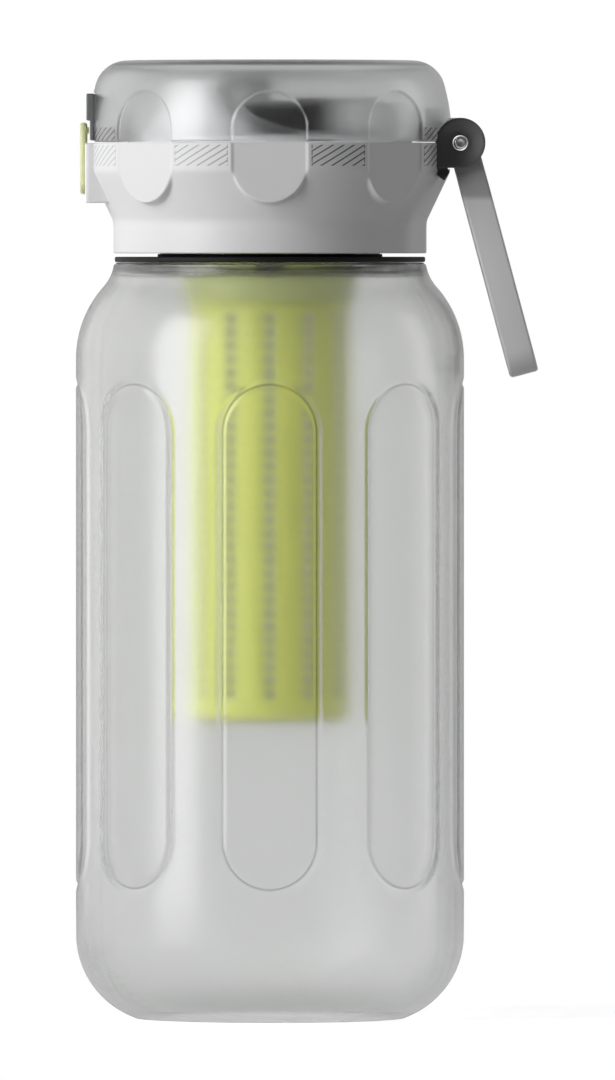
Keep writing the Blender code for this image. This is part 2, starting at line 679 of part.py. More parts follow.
def cap_profile():
    """The cap shell's section, clockwise."""
    slope = math.atan2(BAND_RADIUS - SKIRT_RADIUS, BAND_BOTTOM - SKIRT_TOP)
    inset = CAP_WALL / math.cos(slope)
    outer = [(BAND_RADIUS - CAP_EDGE, CAP_TOP), (BAND_RADIUS, CAP_TOP - CAP_EDGE)]
    outer += [(BAND_RADIUS + across, BAND_BOTTOM + up) for across, up in BAND_BEND]
    outer += [(SKIRT_RADIUS + across, SKIRT_TOP + up) for across, up in SKIRT_BEND]
    outer += [(SKIRT_RADIUS, SKIRT_BOTTOM + CAP_EDGE), (SKIRT_RADIUS - CAP_EDGE, SKIRT_BOTTOM)]
    flange_top = CAP_TOP - FLANGE_DROP
    inner = [(SKIRT_RADIUS - CAP_WALL, SKIRT_BOTTOM), (SKIRT_RADIUS - CAP_WALL, SKIRT_TOP),
             (BAND_RADIUS - inset, BAND_BOTTOM), (BAND_RADIUS - CAP_WALL, BAND_BOTTOM + BAND_BEND[0][1]),
             (BAND_RADIUS - CAP_WALL, flange_top - FLANGE_THICKNESS)]
    hole = liner_bore() + LINER_WALL + GAP
    flange = [(hole, flange_top - FLANGE_THICKNESS), (hole, flange_top),
              (BAND_RADIUS - RIM_WIDTH, flange_top), (BAND_RADIUS - RIM_WIDTH, CAP_TOP)]
    return outer + inner + flange


def liner_bore():
    """Radius of the inner cap's bore, clear of the neck's thread."""
    return NECK_RADIUS + THREAD_HEIGHT + THREAD_GAP


def build_cap_shell():
    """The outer cap with its bosses, flats, hinge pocket and button housing."""
    shell = lathe("cap_shell", cap_profile(), ((0.83, 0.83, 0.84), 0.45))
    flange_top = CAP_TOP - FLANGE_DROP
    pad = stadium(FLAT_WIDTH, CAP_TOP - FLAT_DOWN, flange_top - 2 * STAGGER, top_round=False)
    join(shell, flats("cap_bosses", pad, FLAT_PLANE - FLAT_BACKING, FLAT_PLANE))
    whole = stadium(FLAT_WIDTH, CAP_TOP - FLAT_DOWN, CAP_TOP + FLAT_UP)
    cut(shell, flats("cap_flats", whole, FLAT_PLANE, REACH))

    hinge_block = block("hinge_backing",
                        (POCKET_X - POCKET_WALL, -POCKET_HALF - CAP_WALL, BAND_BOTTOM - BACKING_DROP),
                        (BAND_RADIUS, POCKET_HALF + CAP_WALL, flange_top - 2 * STAGGER))
    boolean(hinge_block, lathe("hinge_backing_limit", cap_envelope(-BACKING_INSET), closed=False), "INTERSECT")
    join(shell, hinge_block)
    pocket_low = PIN_Z - KNUCKLE_RADIUS - GAP
    cut(shell, block("hinge_pocket", (POCKET_X, -POCKET_HALF, pocket_low),
                     (REACH, POCKET_HALF, CAP_TOP + CUT)))

    back, step, top = -(HOUSING_FLOOR_X - HOUSING_BACK), -(BAND_RADIUS - RIM_WIDTH + STAGGER), CAP_TOP - STAGGER
    housing = [(-HOUSING_FACE, HOUSING_BOTTOM), (back, HOUSING_BOTTOM), (back, flange_top - STAGGER),
               (step, flange_top - STAGGER), (step, top), (-HOUSING_FACE, top)]
    join(shell, plate("button_housing", housing, 2 * HOUSING_HALF, side_view()))
    side = HOUSING_HALF - HOUSING_SIDE
    cut(shell, block("button_pocket", (-HOUSING_FACE - CUT, -side, HOUSING_BOTTOM + HOUSING_FLOOR),
                     (-HOUSING_FLOOR_X, side, CAP_TOP + CUT)))
    hole_half = BUTTON_PIN_HALF + GAP
    cut(shell, rod("button_pin_hole", (-BUTTON_PIN_X, -hole_half, BUTTON_PIN_Z),
                   (-BUTTON_PIN_X, hole_half, BUTTON_PIN_Z), BUTTON_PIN_RADIUS + GAP, segments=TINY_SEGMENTS))
    spring_bottom = HOUSING_FLOOR_X - BUTTON_SPRING_HOLE_DEPTH
    spring_hole = BUTTON_SPRING_RADIUS + BUTTON_SPRING_WIRE / 2 + GAP
    cut(shell, rod("button_spring_hole", (-spring_bottom, 0, BUTTON_SPRING_Z),
                   (-HOUSING_FLOOR_X - CUT / 2, 0, BUTTON_SPRING_Z), spring_hole, segments=TINY_SEGMENTS))
    return shell


def build_cap_liner():
    """The inner cap: threaded wall, deck, and the wall inside the neck that holds the filter."""
    bottom, top = DECK_BOTTOM, DECK_TOP
    bore = liner_bore()
    outside = bore + LINER_WALL
    low = LEDGE_Z + LINER_LIFT
    seat = bottom - SEAT_THICKNESS
    profile = [(0.0, top), (DECK_RADIUS - CAP_EDGE, top), (DECK_RADIUS, top - CAP_EDGE), (DECK_RADIUS, bottom),
               (outside, bottom), (outside, low), (bore, low), (bore, bottom - MERGE),
               (SEAL_OUTER, bottom - MERGE), (SEAL_OUTER, SEAL_WALL_BOTTOM), (SEAL_INNER, SEAL_WALL_BOTTOM),
               (SEAL_INNER, seat), (SEAL_INNER - SEAT_WIDTH, seat), (SEAL_INNER - SEAT_WIDTH, bottom), (0.0, bottom)]
    liner = lathe("cap_liner", profile, ((0.80, 0.81, 0.82), 0.5), closed=False)
    join(liner, neck_thread("cap_thread", bore, False, LEDGE_Z + THREAD_LIFT - THREAD_LEAD / 2))
    cut(liner, rod("spout_hole", (-SPOUT_OFFSET, 0, bottom - SPOUT_HOLE_REACH),
                   (-SPOUT_OFFSET, 0, top + CUT), SPIGOT_RADIUS + GAP, segments=SMALL_SEGMENTS))
    cut(liner, *lug_slots())
    return liner


def lug_slots():
    """Slots of the filter's bayonet, in the wall inside the neck."""
    half = LUG_RADIUS + GAP
    low, high = SEAL_INNER - CUT, COLLAR_RADIUS + LUG_REACH + GAP
    margin = math.degrees((half + 2 * STAGGER) / COLLAR_RADIUS)
    level = swept("lug_slots_level", [(low, LUG_Z + half), (high, LUG_Z + half), (high, LUG_Z - half),
                                      (low, LUG_Z - half)], LUG_TURN + margin, 0.0, 8)
    level.data.transform(Matrix.Rotation(math.radians(-margin), 4, "Z"))
    entry = block("lug_slots_entry", (low, -half - 2 * STAGGER, SEAL_WALL_BOTTOM - CUT),
                  (high - STAGGER / 2, half + 2 * STAGGER, LUG_Z + half + 3 * STAGGER))
    entry.data.transform(Matrix.Rotation(math.radians(LUG_TURN), 4, "Z"))
    turns = [360 / LUG_COUNT * index for index in range(LUG_COUNT)]
    for cutter in (level, entry):
        turned_copies(cutter.data, turns)
    return level, entry


def build_gaskets():
    """The silicone rings of the cap."""
    rubber = ((0.78, 0.79, 0.80), 0.6)
    neck = ring("neck_gasket", NECK_BORE + GAP, liner_bore() - GAP, NECK_TOP + GAP,
                NECK_TOP + GAP + GASKET_THICKNESS, rubber, segments=SMALL_SEGMENTS)
    inner = SPIGOT_RADIUS + GAP
    spout = ring("spout_gasket", inner, inner + SPOUT_GROOVE - 2 * GAP, DECK_TOP + GAP,
                 DECK_TOP + GAP + SPOUT_GASKET_THICKNESS, rubber, segments=SMALL_SEGMENTS)
    spout.location.x = -SPOUT_OFFSET
    filter_ring = ring("filter_gasket", COLLAR_RADIUS - COLLAR_LIP + FILTER_GASKET_INSET,
                       COLLAR_RADIUS - FILTER_GASKET_INSET, COLLAR_TOP + GAP,
                       DECK_BOTTOM - SEAT_THICKNESS - GAP, rubber, segments=SMALL_SEGMENTS)
    return neck, spout, filter_ring


def spout_flank():
    """The spout's hollow flank from the lip down, as (radius, z)."""
    return [(SPOUT_LIP + out * SPOUT_FLARE, SPOUT_BASE + up * SPOUT_HEIGHT) for out, up in SPOUT_FLANK]


def build_spout():
    """The drinking spout, its foot trimmed to the deck's edge."""
    groove = SPIGOT_RADIUS + SPOUT_GROOVE
    groove_top = SPOUT_BASE + SPOUT_GASKET_THICKNESS + GAP
    flank = spout_flank()
    top = SPOUT_BASE + SPOUT_HEIGHT
    low = DECK_BOTTOM + 2 * STAGGER
    profile = [(SPOUT_BORE + SPOUT_EDGE_CUT, top), (SPOUT_LIP - SPOUT_EDGE_CUT, top)] + flank
    profile += [(flank[-1][0], SPOUT_BASE), (groove, SPOUT_BASE), (groove, groove_top), (SPIGOT_RADIUS, groove_top),
                (SPIGOT_RADIUS, low), (SPOUT_BORE, low), (SPOUT_BORE, top - SPOUT_EDGE_CUT)]
    spout = lathe("spout", profile, ((0.84, 0.84, 0.85), 0.4), segments=SMALL_SEGMENTS)
    spout.location.x = -SPOUT_OFFSET
    edge = rod("spout_edge", (0, 0, DECK_BOTTOM - CUT), (0, 0, top + CUT), SPOUT_EDGE, segments=BIG_SEGMENTS)
    boolean(spout, edge, "INTERSECT")
    return spout


# Lid

def lid_side():
    """The lid's wall from its corner down, as (radius, z)."""
    return [(LID_RADIUS - lean * LID_TAPER, LID_RIM + up * LID_HEIGHT) for lean, up in LID_SIDE]


def lid_outer():
    """The lid's outside from the middle of its top down to its rim."""
    corner = arc(LID_TOP_RADIUS, LID_TOP - LID_CORNER, LID_CORNER, 90, 8, 6)
    edge = [(LID_RADIUS, LID_RIM + LID_EDGE), (LID_RADIUS - LID_EDGE, LID_RIM)]
    return [(0.0, LID_TOP)] + corner + lid_side() + edge


def lid_inner():
    """The lid's inside from its rim up to the middle of its ceiling."""
    corner = arc(LID_TOP_RADIUS, LID_TOP - LID_CORNER, LID_CORNER - LID_WALL, 8, 90, 4)
    side = [(radius - LID_WALL, z) for radius, z in reversed(lid_side())]
    return [(LID_RADIUS - LID_WALL, LID_RIM)] + side + corner + [(0.0, LID_TOP - LID_WALL)]


def build_lid_shell():
    """The lid with its flats, tab seat and hinge knuckles."""
    shell = lathe("lid_shell", lid_outer() + lid_inner(), ((0.55, 0.56, 0.56), 0.2, 0.0, 0.5), closed=False)
    relief = KNUCKLE_RADIUS + GAP
    envelope = lathe("lid_envelope", lid_outer() + [(0.0, LID_RIM)], closed=False)
    inner_block = block("lid_backing", (POCKET_X - BACKING_INSET, -POCKET_HALF - CAP_WALL, LID_RIM + 2 * STAGGER),
                        (LID_RADIUS + CUT, POCKET_HALF + CAP_WALL, PIN_Z + BACKING_HEIGHT))
    boolean(inner_block, envelope, "INTERSECT")
    join(shell, inner_block)

    circle = arc(0.0, 0.0, KNUCKLE_RADIUS, 90, -180, 18)
    root = POCKET_X + KNUCKLE_ROOT - PIN_X
    low = GAP + STAGGER
    outline = circle + [(-KNUCKLE_RADIUS, low), (root, low), (root, KNUCKLE_RADIUS)]
    knuckle = plate("lid_knuckle", outline, 2 * KNUCKLE_HALF, side_view(0.0, PIN_X, PIN_Z))
    join(shell, knuckle)
    for side, name in ((-1, "front"), (1, "back")):
        cut(shell, rod("lid_relief_" + name, (PIN_X, side * (KNUCKLE_HALF + STAGGER), PIN_Z),
                       (PIN_X, side * POCKET_HALF, PIN_Z), relief))
    cut(shell, rod("lid_spring_slot", (PIN_X, -LID_SPRING_SLOT, PIN_Z), (PIN_X, LID_SPRING_SLOT, PIN_Z), relief))
    cut(shell, rod("lid_pin_hole", (PIN_X, -REACH, PIN_Z), (PIN_X, REACH, PIN_Z), PIN_RADIUS + GAP,
                   segments=TINY_SEGMENTS))
    whole = stadium(FLAT_WIDTH, CAP_TOP - FLAT_DOWN, CAP_TOP + FLAT_UP)
    cut(shell, flats("lid_flats", whole, FLAT_PLANE, REACH))
    seat_half = TAB_HALF + TAB_MARGIN
    cut(shell, block("tab_seat", (-REACH, -seat_half, LID_RIM - CUT), (-FLAT_PLANE, seat_half, TAB_TOP + GAP)))
    return shell


def build_lid_insert():
    """The dark carrier under the lid, its lower edge following the spout's flank."""
    low = SPOUT_BASE + INSERT_LIFT
    flank = [(r - SPOUT_OFFSET + INSERT_CLEAR, z + GAP) for r, z in spout_flank()]
    flank = [(x, z) for x, z in flank if low < z < INSERT_TOP]
    insert = disc("lid_insert", INSERT_RADIUS, low, INSERT_TOP, ((0.06, 0.06, 0.065), 0.4))
    beyond = [(-REACH, low - CUT), (-REACH, INSERT_TOP + CUT)]
    side = [(flank[0][0], INSERT_TOP + CUT)] + flank + [(flank[-1][0], low - CUT)]
    cut(insert, plate("insert_side", side + beyond, 2 * REACH, side_view()))
    hollow = disc("insert_hollow", INSERT_RADIUS - INSERT_WALL, low - CUT, INSERT_TOP - INSERT_WALL)
    inset = [(x + INSERT_WALL, z) for x, z in side]
    cut(hollow, plate("insert_hollow_side", inset + beyond, 2 * REACH, side_view()))
    cut(insert, hollow)
    post = -SPOUT_OFFSET + PLUG_RADIUS + INSERT_CLEAR
    join(insert, block("insert_post", (post, -ARM_HALF, INSERT_TOP - INSERT_WALL - POST_DROP),
                       (post + POST_WIDTH, ARM_HALF, ARM_TOP - 2 * STAGGER)))
    join(insert, block("insert_arm", (-SPOUT_OFFSET - ARM_HALF, -ARM_HALF - GAP, ARM_TOP - ARM_THICKNESS),
                       (post + POST_WIDTH + 2 * GAP, ARM_HALF + GAP, ARM_TOP)))
    return insert


def build_seal_plug():
    """The silicone plug between the insert's arm and the spout."""
    low = PLUG_TOP - PLUG_THICKNESS
    nose = SPOUT_BORE - PLUG_CLEAR
    profile = [(0.0, PLUG_TOP), (PLUG_RADIUS - PLUG_EDGE, PLUG_TOP), (PLUG_RADIUS, PLUG_TOP - PLUG_EDGE),
               (PLUG_RADIUS, low), (nose, low), (nose - PLUG_TAPER, low - PLUG_NOSE), (0.0, low - PLUG_NOSE)]
    plug = lathe("seal_plug", profile, ((0.72, 0.73, 0.74), 0.6), segments=SMALL_SEGMENTS, closed=False)
    plug.location.x = -SPOUT_OFFSET
    return plug


def build_latch_tab():
    """The tab on the lid that the button's nose holds down."""
    inner = FLAT_PLANE + GAP
    low = CAP_TOP + 2 * GAP
    tab = block("latch_tab", (-inner - TAB_THICKNESS, -TAB_HALF, low), (-inner, TAB_HALF, TAB_TOP),
                ((0.16, 0.165, 0.17), 0.4), bevel=TAB_EDGE)
    face = inner + TAB_THICKNESS
    cut(tab, block("tab_step", (-face - CUT, -TAB_HALF - CUT, low - CUT), (-face + TAB_STEP, TAB_HALF + CUT, TAB_STEP_Z)))
    cut(tab, block("tab_slot", (-face, -TAB_SLOT_HALF, NOSE_Z - NOSE_HEIGHT / 2 - GAP),
                   (-face + TAB_STEP + TAB_SLOT_DEPTH, TAB_SLOT_HALF, NOSE_Z + NOSE_HEIGHT / 2 + GAP)))
    return tab


# Hinge

def build_bracket():
    """The hinge bracket: a plate in the cap's pocket and two dished ears with feet."""
    outer, inner = EAR_OUTER, EAR_INNER
    plate_back = POCKET_X + GAP
    low = PIN_Z - KNUCKLE_RADIUS
    top = CAP_TOP - GAP
    bracket = block("hinge_bracket", (plate_back, -outer + STAGGER, low + STAGGER),
                    (plate_back + BRACKET_PLATE, outer - STAGGER, top - STAGGER), ((0.10, 0.10, 0.105), 0.35))
    back = plate_back + STAGGER - PIN_X
    circle = arc(0.0, 0.0, KNUCKLE_RADIUS, 180, -90, 22)
    outline = circle + [(back, -KNUCKLE_RADIUS), (back, top - PIN_Z), (-KNUCKLE_RADIUS, top - PIN_Z)]
    foot = [(FOOT_IN[0], -FOOT_HEIGHT), FOOT_IN, FOOT_LOW, FOOT_OUT, FOOT_NECK, (FOOT_NECK[0], -FOOT_HEIGHT)]
    for side, name in ((-1, "front"), (1, "back")):
        middle = side * (outer + inner) / 2
        join(bracket, plate("ear_" + name, outline, outer - inner, side_view(middle, PIN_X, PIN_Z)))
        lug = plate("foot_" + name, foot, outer - inner - STAGGER, side_view(middle, PIN_X, PIN_Z))
        keep_off = lathe("foot_keep_off_" + name, cap_envelope(GAP), closed=False)
        cut(lug, keep_off)
        join(bracket, lug)
        rim = KNUCKLE_RADIUS - DISH_RIM
        dish = lathe("dish_" + name, [(0.0, CUT), (rim + CUT / 3, CUT), (rim, 0.0),
                                      (PIN_RADIUS + DISH_FLOOR, -DISH_DEPTH), (0.0, -DISH_DEPTH)],
                     segments=SMALL_SEGMENTS, closed=False)
        dish.location = (PIN_X, side * outer, PIN_Z)
        dish.rotation_euler.x = -side * math.pi / 2
        cut(bracket, dish)
    cut(bracket, rod("bracket_pin_hole", (PIN_X, -REACH, PIN_Z), (PIN_X, REACH, PIN_Z),
                     PIN_RADIUS + GAP, segments=TINY_SEGMENTS))
    return bracket


def cap_envelope(margin):
    """The outside of the cap as a solid profile, grown by margin."""
    outer = [(radius + margin, z) for radius, z in cap_profile()[:10]]
    return [(0.0, outer[0][1] + CUT), (outer[0][0], outer[0][1] + CUT)] + outer[1:] + [(0.0, outer[-1][1])]


def build_hinge_pin():
    """The steel pin, its ends just inside the ears' dishes."""
    half = EAR_OUTER - GAP
    return rod("hinge_pin", (PIN_X, -half, PIN_Z), (PIN_X, half, PIN_Z), PIN_RADIUS, ((0.75, 0.75, 0.76), 0.25, 1.0),
               segments=TINY_SEGMENTS, tip=PIN_TIP)


def build_lid_spring():
    """The torsion spring between the knuckles: curls round the pin and two short legs."""
    steps = LID_SPRING_CURLS * CURL_POINTS
    length = LID_SPRING_PITCH * LID_SPRING_CURLS
    points = []
    for step in range(steps + 1):
        turn = math.pi + 2 * math.pi * LID_SPRING_CURLS * step / steps
        points.append((PIN_X + LID_SPRING_RADIUS * math.cos(turn), -length / 2 + length * step / steps,
                       PIN_Z + LID_SPRING_RADIUS * math.sin(turn)))
    print_gap("lid_spring", points, LID_SPRING_WIRE, CURL_POINTS)
    first, last = points[0], points[-1]
    upper = [(first[0] + across, first[1], first[2] + up) for across, up in LID_SPRING_UP]
    lower = [(last[0] + across, last[1], last[2] + up) for across, up in LID_SPRING_DOWN]
    return wire("lid_spring", list(reversed(upper)) + points + lower, LID_SPRING_WIRE / 2, ((0.6, 0.6, 0.62), 0.3, 1.0))


def print_gap(name, points, thickness, per_curl):
    """Print the least gap of a coil to itself, between points at least half a curl apart."""
    least = min((Vector(a) - Vector(b)).length
                for index, a in enumerate(points) for b in points[index + per_curl // 2:])
    print(f"{name}: least gap to itself {1000 * (least - thickness):.2f} mm")


def build_handle():
    """The carry loop: a strap bent to a loop, with two eyes on the hinge pin."""
    inner, outer = EYE_INNER, EYE_INNER + EYE_THICKNESS
    wide = HANDLE_HALF
    narrow = HANDLE_HALF - HANDLE_STRAP
    corner, inside = HANDLE_CORNER, HANDLE_CORNER - HANDLE_STRAP
    end = -HANDLE_LENGTH
    outside_half = [(outer, 0.0), (outer, -JOGGLE_START), (wide, -JOGGLE_END)]
    outside_half += arc(wide - corner, end + corner, corner, 0, -90, 6)
    inside_half = arc(wide - corner, end + corner, inside, -90, 0, 4)
    inside_half += [(narrow, -JOGGLE_END - GAP), (inner, -JOGGLE_START - 2 * GAP), (inner, 0.0)]
    left = [(-x, y) for x, y in reversed(outside_half)]
    inside_left = [(-x, y) for x, y in reversed(inside_half)]
    outline = outside_half + left + inside_left + inside_half
    handle = plate("carry_handle", outline, HANDLE_WIDTH, facing_x(HANDLE_OFFSET), ((0.78, 0.78, 0.79), 0.45))
    handle.data.transform(handle.matrix_world)
    handle.matrix_world = Matrix.Identity(4)
    round_edges(handle, HANDLE_EDGE)
    extras = []
    for side, name in ((-1, "front"), (1, "back")):
        eye = rod("eye_" + name, (0, side * inner, 0), (0, side * outer, 0), KNUCKLE_RADIUS)
        join(handle, eye)
        extras.append(eye)
    hole = rod("handle_pin_hole", (0, -REACH, 0), (0, REACH, 0), PIN_RADIUS + GAP, segments=TINY_SEGMENTS)
    cut(handle, hole)
    extras.append(hole)
    for extra in extras:
        extra.parent = handle
    return handle


# Button

def build_button():
    """The rocker button with its lugs and its nose."""
    half = BUTTON_HALF
    back = BUTTON_FACE - BUTTON_THICKNESS
    height = BUTTON_TOP - BUTTON_BOTTOM
    corner = BUTTON_CORNER
    middle = (BUTTON_TOP + BUTTON_BOTTOM) / 2
    outline = []
    for across, up, start in ((1, 1, 0), (-1, 1, 90), (-1, -1, 180), (1, -1, 270)):
        outline += arc(across * (half - corner), middle + up * (height / 2 - corner), corner, start, start + 90, 4)
    button = plate("button", outline, BUTTON_THICKNESS, facing_x(-(BUTTON_FACE + back) / 2), ((0.66, 0.72, 0.25), 0.25))
    round_edges(button, BUTTON_EDGE)
    pin = (-BUTTON_PIN_X, 0.0, BUTTON_PIN_Z)
    root = BUTTON_PIN_X - back - ROOT
    flare = BUTTON_LUG_RADIUS + BUTTON_LUG_FLARE
    web = [(root, flare)] + arc(0.0, 0.0, BUTTON_LUG_RADIUS, 90, -90, 8) + [(root, -flare)]
    for side, name in ((-1, "front"), (1, "back")):
        place = side * (BUTTON_LUG_HALF - BUTTON_LUG_THICKNESS / 2)
        join(button, plate("button_lug_" + name, web, BUTTON_LUG_THICKNESS, side_view(place, pin[0], pin[2])))
    join(button, block("button_nose", (-back - ROOT, -NOSE_HALF, NOSE_Z - NOSE_HEIGHT / 2),
                       (-back + NOSE_REACH, NOSE_HALF, NOSE_Z + NOSE_HEIGHT / 2)))
    hole = BUTTON_PIN_RADIUS + GAP
    cut(button, rod("button_lug_hole", (pin[0], -BUTTON_LUG_HALF - CUT, pin[2]), (pin[0], BUTTON_LUG_HALF + CUT, pin[2]),
                    hole, segments=TINY_SEGMENTS))
    return button


def build_button_pin():
    """The pin the button rocks on."""
    return rod("button_pin", (-BUTTON_PIN_X, -BUTTON_PIN_HALF, BUTTON_PIN_Z),
               (-BUTTON_PIN_X, BUTTON_PIN_HALF, BUTTON_PIN_Z), BUTTON_PIN_RADIUS, ((0.7, 0.7, 0.72), 0.3, 1.0),
               segments=TINY_SEGMENTS)


def build_button_spring():
    """The coil spring behind the button's lower half."""
    start = -(BUTTON_FACE - BUTTON_THICKNESS) + GAP + BUTTON_SPRING_WIRE / 2
    end = -(HOUSING_FLOOR_X - BUTTON_SPRING_HOLE_DEPTH) - GAP - BUTTON_SPRING_WIRE / 2
    steps = BUTTON_SPRING_CURLS * 8
    points = []
    for step in range(steps + 1):
        turn = 2 * math.pi * BUTTON_SPRING_CURLS * step / steps
        points.append((start + (end - start) * step / steps, BUTTON_SPRING_RADIUS * math.cos(turn),
                       BUTTON_SPRING_Z + BUTTON_SPRING_RADIUS * math.sin(turn)))
    print_gap("button_spring", points, BUTTON_SPRING_WIRE, 8)
    return wire("button_spring", points, BUTTON_SPRING_WIRE / 2, ((0.6, 0.6, 0.62), 0.3, 1.0))


# Filter

def build_filter_collar():
    """The filter's upper ring: socket for the tube, windows and bayonet lugs."""
    socket = FILTER_RADIUS + GAP
    inner = COLLAR_RADIUS - COLLAR_LIP
    profile = [(inner, COLLAR_TOP), (COLLAR_RADIUS - COLLAR_EDGE, COLLAR_TOP),
               (COLLAR_RADIUS, COLLAR_TOP - COLLAR_EDGE), (COLLAR_RADIUS, COLLAR_BOTTOM + COLLAR_EDGE),
               (COLLAR_RADIUS - COLLAR_EDGE, COLLAR_BOTTOM),
               (socket, COLLAR_BOTTOM), (socket, COLLAR_BOTTOM + COLLAR_SOCKET),
               (inner, COLLAR_BOTTOM + COLLAR_SOCKET)]
    collar = lathe("filter_collar", profile, ((0.66, 0.72, 0.25), 0.35), segments=SMALL_SEGMENTS)
    low = COLLAR_BOTTOM + WINDOW_UP
    window = block("collar_windows", (inner - CUT, -WINDOW_WIDTH / 2, low),
                   (COLLAR_RADIUS + CUT, WINDOW_WIDTH / 2, low + WINDOW_HEIGHT))
    turned_copies(window.data, [360 / WINDOW_COUNT * (index + 0.5) for index in range(WINDOW_COUNT)])
    cut(collar, window)
    for index in range(LUG_COUNT):
        lug = rod(f"collar_lug_{index}", (COLLAR_RADIUS - LUG_REACH, 0, LUG_Z), (COLLAR_RADIUS + LUG_REACH, 0, LUG_Z),
                  LUG_RADIUS, segments=TINY_SEGMENTS)
        lug.data.transform(Matrix.Rotation(2 * math.pi * index / LUG_COUNT, 4, "Z"))
        join(collar, lug)
    return collar


def build_filter_tube():
    """The perforated tube: a sheet rolled to a tube with staggered holes, then given its wall."""
    hole_turn = HOLE_WIDTH / FILTER_RADIUS
    pitch = 2 * math.pi / HOLE_COLUMNS
    turns = []
    for index in range(HOLE_COLUMNS):
        turns += [index * pitch - hole_turn / 2, index * pitch + hole_turn / 2]
    corner = arc(FILTER_RADIUS - FILTER_CORNER, FILTER_BOTTOM + FILTER_CORNER, FILTER_CORNER, -90, 0, 3)
    top = COLLAR_BOTTOM + COLLAR_SOCKET - GAP
    rows = [(FILTER_RADIUS, HOLES_START + HOLE_HEIGHT * index) for index in range(HOLE_ROWS + 1)]
    levels = corner + rows + [(FILTER_RADIUS, top)]
    first_hole_row = len(corner)
    mesh = bpy.data.meshes.new("filter_tube")
    bm = bmesh.new()
    columns = 2 * HOLE_COLUMNS
    bmesh.ops.create_grid(bm, x_segments=columns, y_segments=len(levels) - 1, size=1.0)
    for vert in bm.verts:
        column = round((vert.co.x + 1) / 2 * columns)
        level = round((vert.co.y + 1) / 2 * (len(levels) - 1))
        radius, z = levels[level]
        turn = turns[column % columns]
        vert.co = (radius * math.cos(turn), radius * math.sin(turn), z)
        vert.index = level * columns + column % columns
    holes = []
    for face in bm.faces:
        middle = face.calc_center_median()
        row = round((middle.z - HOLES_START) / HOLE_HEIGHT - 0.5)
        column = round(math.atan2(middle.y, middle.x) / pitch) % HOLE_COLUMNS
        offset = abs(math.atan2(middle.y, middle.x) - round(math.atan2(middle.y, middle.x) / pitch) * pitch)
        inside = HOLES_START < middle.z < HOLES_START + HOLE_ROWS * HOLE_HEIGHT
        if inside and offset < hole_turn / 2 and (row + column) % 2 == 0:
            holes.append(face)
    bmesh.ops.delete(bm, geom=holes, context="FACES_ONLY")
    bmesh.ops.remove_doubles(bm, verts=bm.verts, dist=MERGE)
    low_edges = [edge for edge in bm.edges if edge.is_boundary
                 and all(abs(vert.co.z - FILTER_BOTTOM) < MERGE for vert in edge.verts)]
    bmesh.ops.holes_fill(bm, edges=low_edges)
    bmesh.ops.recalc_face_normals(bm, faces=bm.faces)
    bm.to_mesh(mesh)
    bm.free()
    tube = add_object("filter_tube", mesh, ((0.66, 0.72, 0.25), 0.35))
    wall = tube.modifiers.new("Wall", "SOLIDIFY")
    wall.thickness = FILTER_WALL
    wall.offset = -1.0
    wall.use_even_offset = True
    return tube


def build():
    """Build every piece and hang the moving ones on their joints' axes."""
    clear_scene()
    bottle_axis = joint_axis("bottle_axis", (0, 0, 0))
    hinge_axis = joint_axis("hinge_axis", (PIN_X, 0, PIN_Z))
    button_axis = joint_axis("button_axis", (-BUTTON_PIN_X, 0, BUTTON_PIN_Z))

    body, shoulder_ring = build_bottle()
    carry(bottle_axis, body, shoulder_ring, build_cap_shell(), build_cap_liner(), *build_gaskets(), build_spout(),
          build_bracket(), build_hinge_pin(), build_lid_spring(), build_button_pin(), build_button_spring(),
          build_filter_collar(), build_filter_tube())
    carry(hinge_axis, build_lid_shell(), build_lid_insert(), build_seal_plug(), build_latch_tab())
    carry(button_axis, build_button())
    handle = build_handle()
    handle.parent = hinge_axis
    handle.rotation_euler.y = -math.radians(HANDLE_ANGLE)
    for obj in collection(PARTS).objects:
        if obj.type == "MESH":
            obj.data.shade_smooth()
            obj.data.set_sharp_from_angle(angle=math.radians(35))


build()
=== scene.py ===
"""Filter water bottle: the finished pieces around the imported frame, their finishes, the light and the camera.

Sizes are in millimetres, and the bench turns them into metres. The bottle stands on the origin, its lid hinges at
+X, its button is at -X and its front faces -Y.
"""
import logging
import math
from collections.abc import Callable, Sequence
from dataclasses import dataclass, field
from enum import Enum
from functools import cache, cached_property

import bmesh
import bpy
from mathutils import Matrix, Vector


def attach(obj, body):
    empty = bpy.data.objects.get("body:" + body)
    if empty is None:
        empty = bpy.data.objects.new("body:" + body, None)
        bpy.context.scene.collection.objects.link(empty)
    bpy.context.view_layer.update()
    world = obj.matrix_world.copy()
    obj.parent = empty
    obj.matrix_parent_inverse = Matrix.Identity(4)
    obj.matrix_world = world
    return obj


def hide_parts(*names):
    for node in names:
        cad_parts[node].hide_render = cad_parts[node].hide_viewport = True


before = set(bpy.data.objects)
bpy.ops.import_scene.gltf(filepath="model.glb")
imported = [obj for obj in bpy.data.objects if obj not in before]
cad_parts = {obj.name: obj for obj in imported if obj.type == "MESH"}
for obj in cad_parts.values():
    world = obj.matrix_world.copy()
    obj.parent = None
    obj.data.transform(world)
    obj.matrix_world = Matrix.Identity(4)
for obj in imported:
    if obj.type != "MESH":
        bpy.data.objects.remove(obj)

LOG = logging.getLogger("filter_water_bottle")
MM = 0.001
COLUMNS = 192
FLAT_SECTORS = 8
SECTOR = 2 * math.pi / FLAT_SECTORS
WHITE = (1.0, 1.0, 1.0, 1.0)
BUTTON_PIN_X, BUTTON_PIN_Z, BUTTON_PIN_HOLE = -41.0, 199.3, 1.1
BUTTON_SPRING_Z = 193.8
HINGE_X, HINGE_Z, HINGE_HOLE, KNUCKLE = 44.1, 203.0, 1.8, 5.75

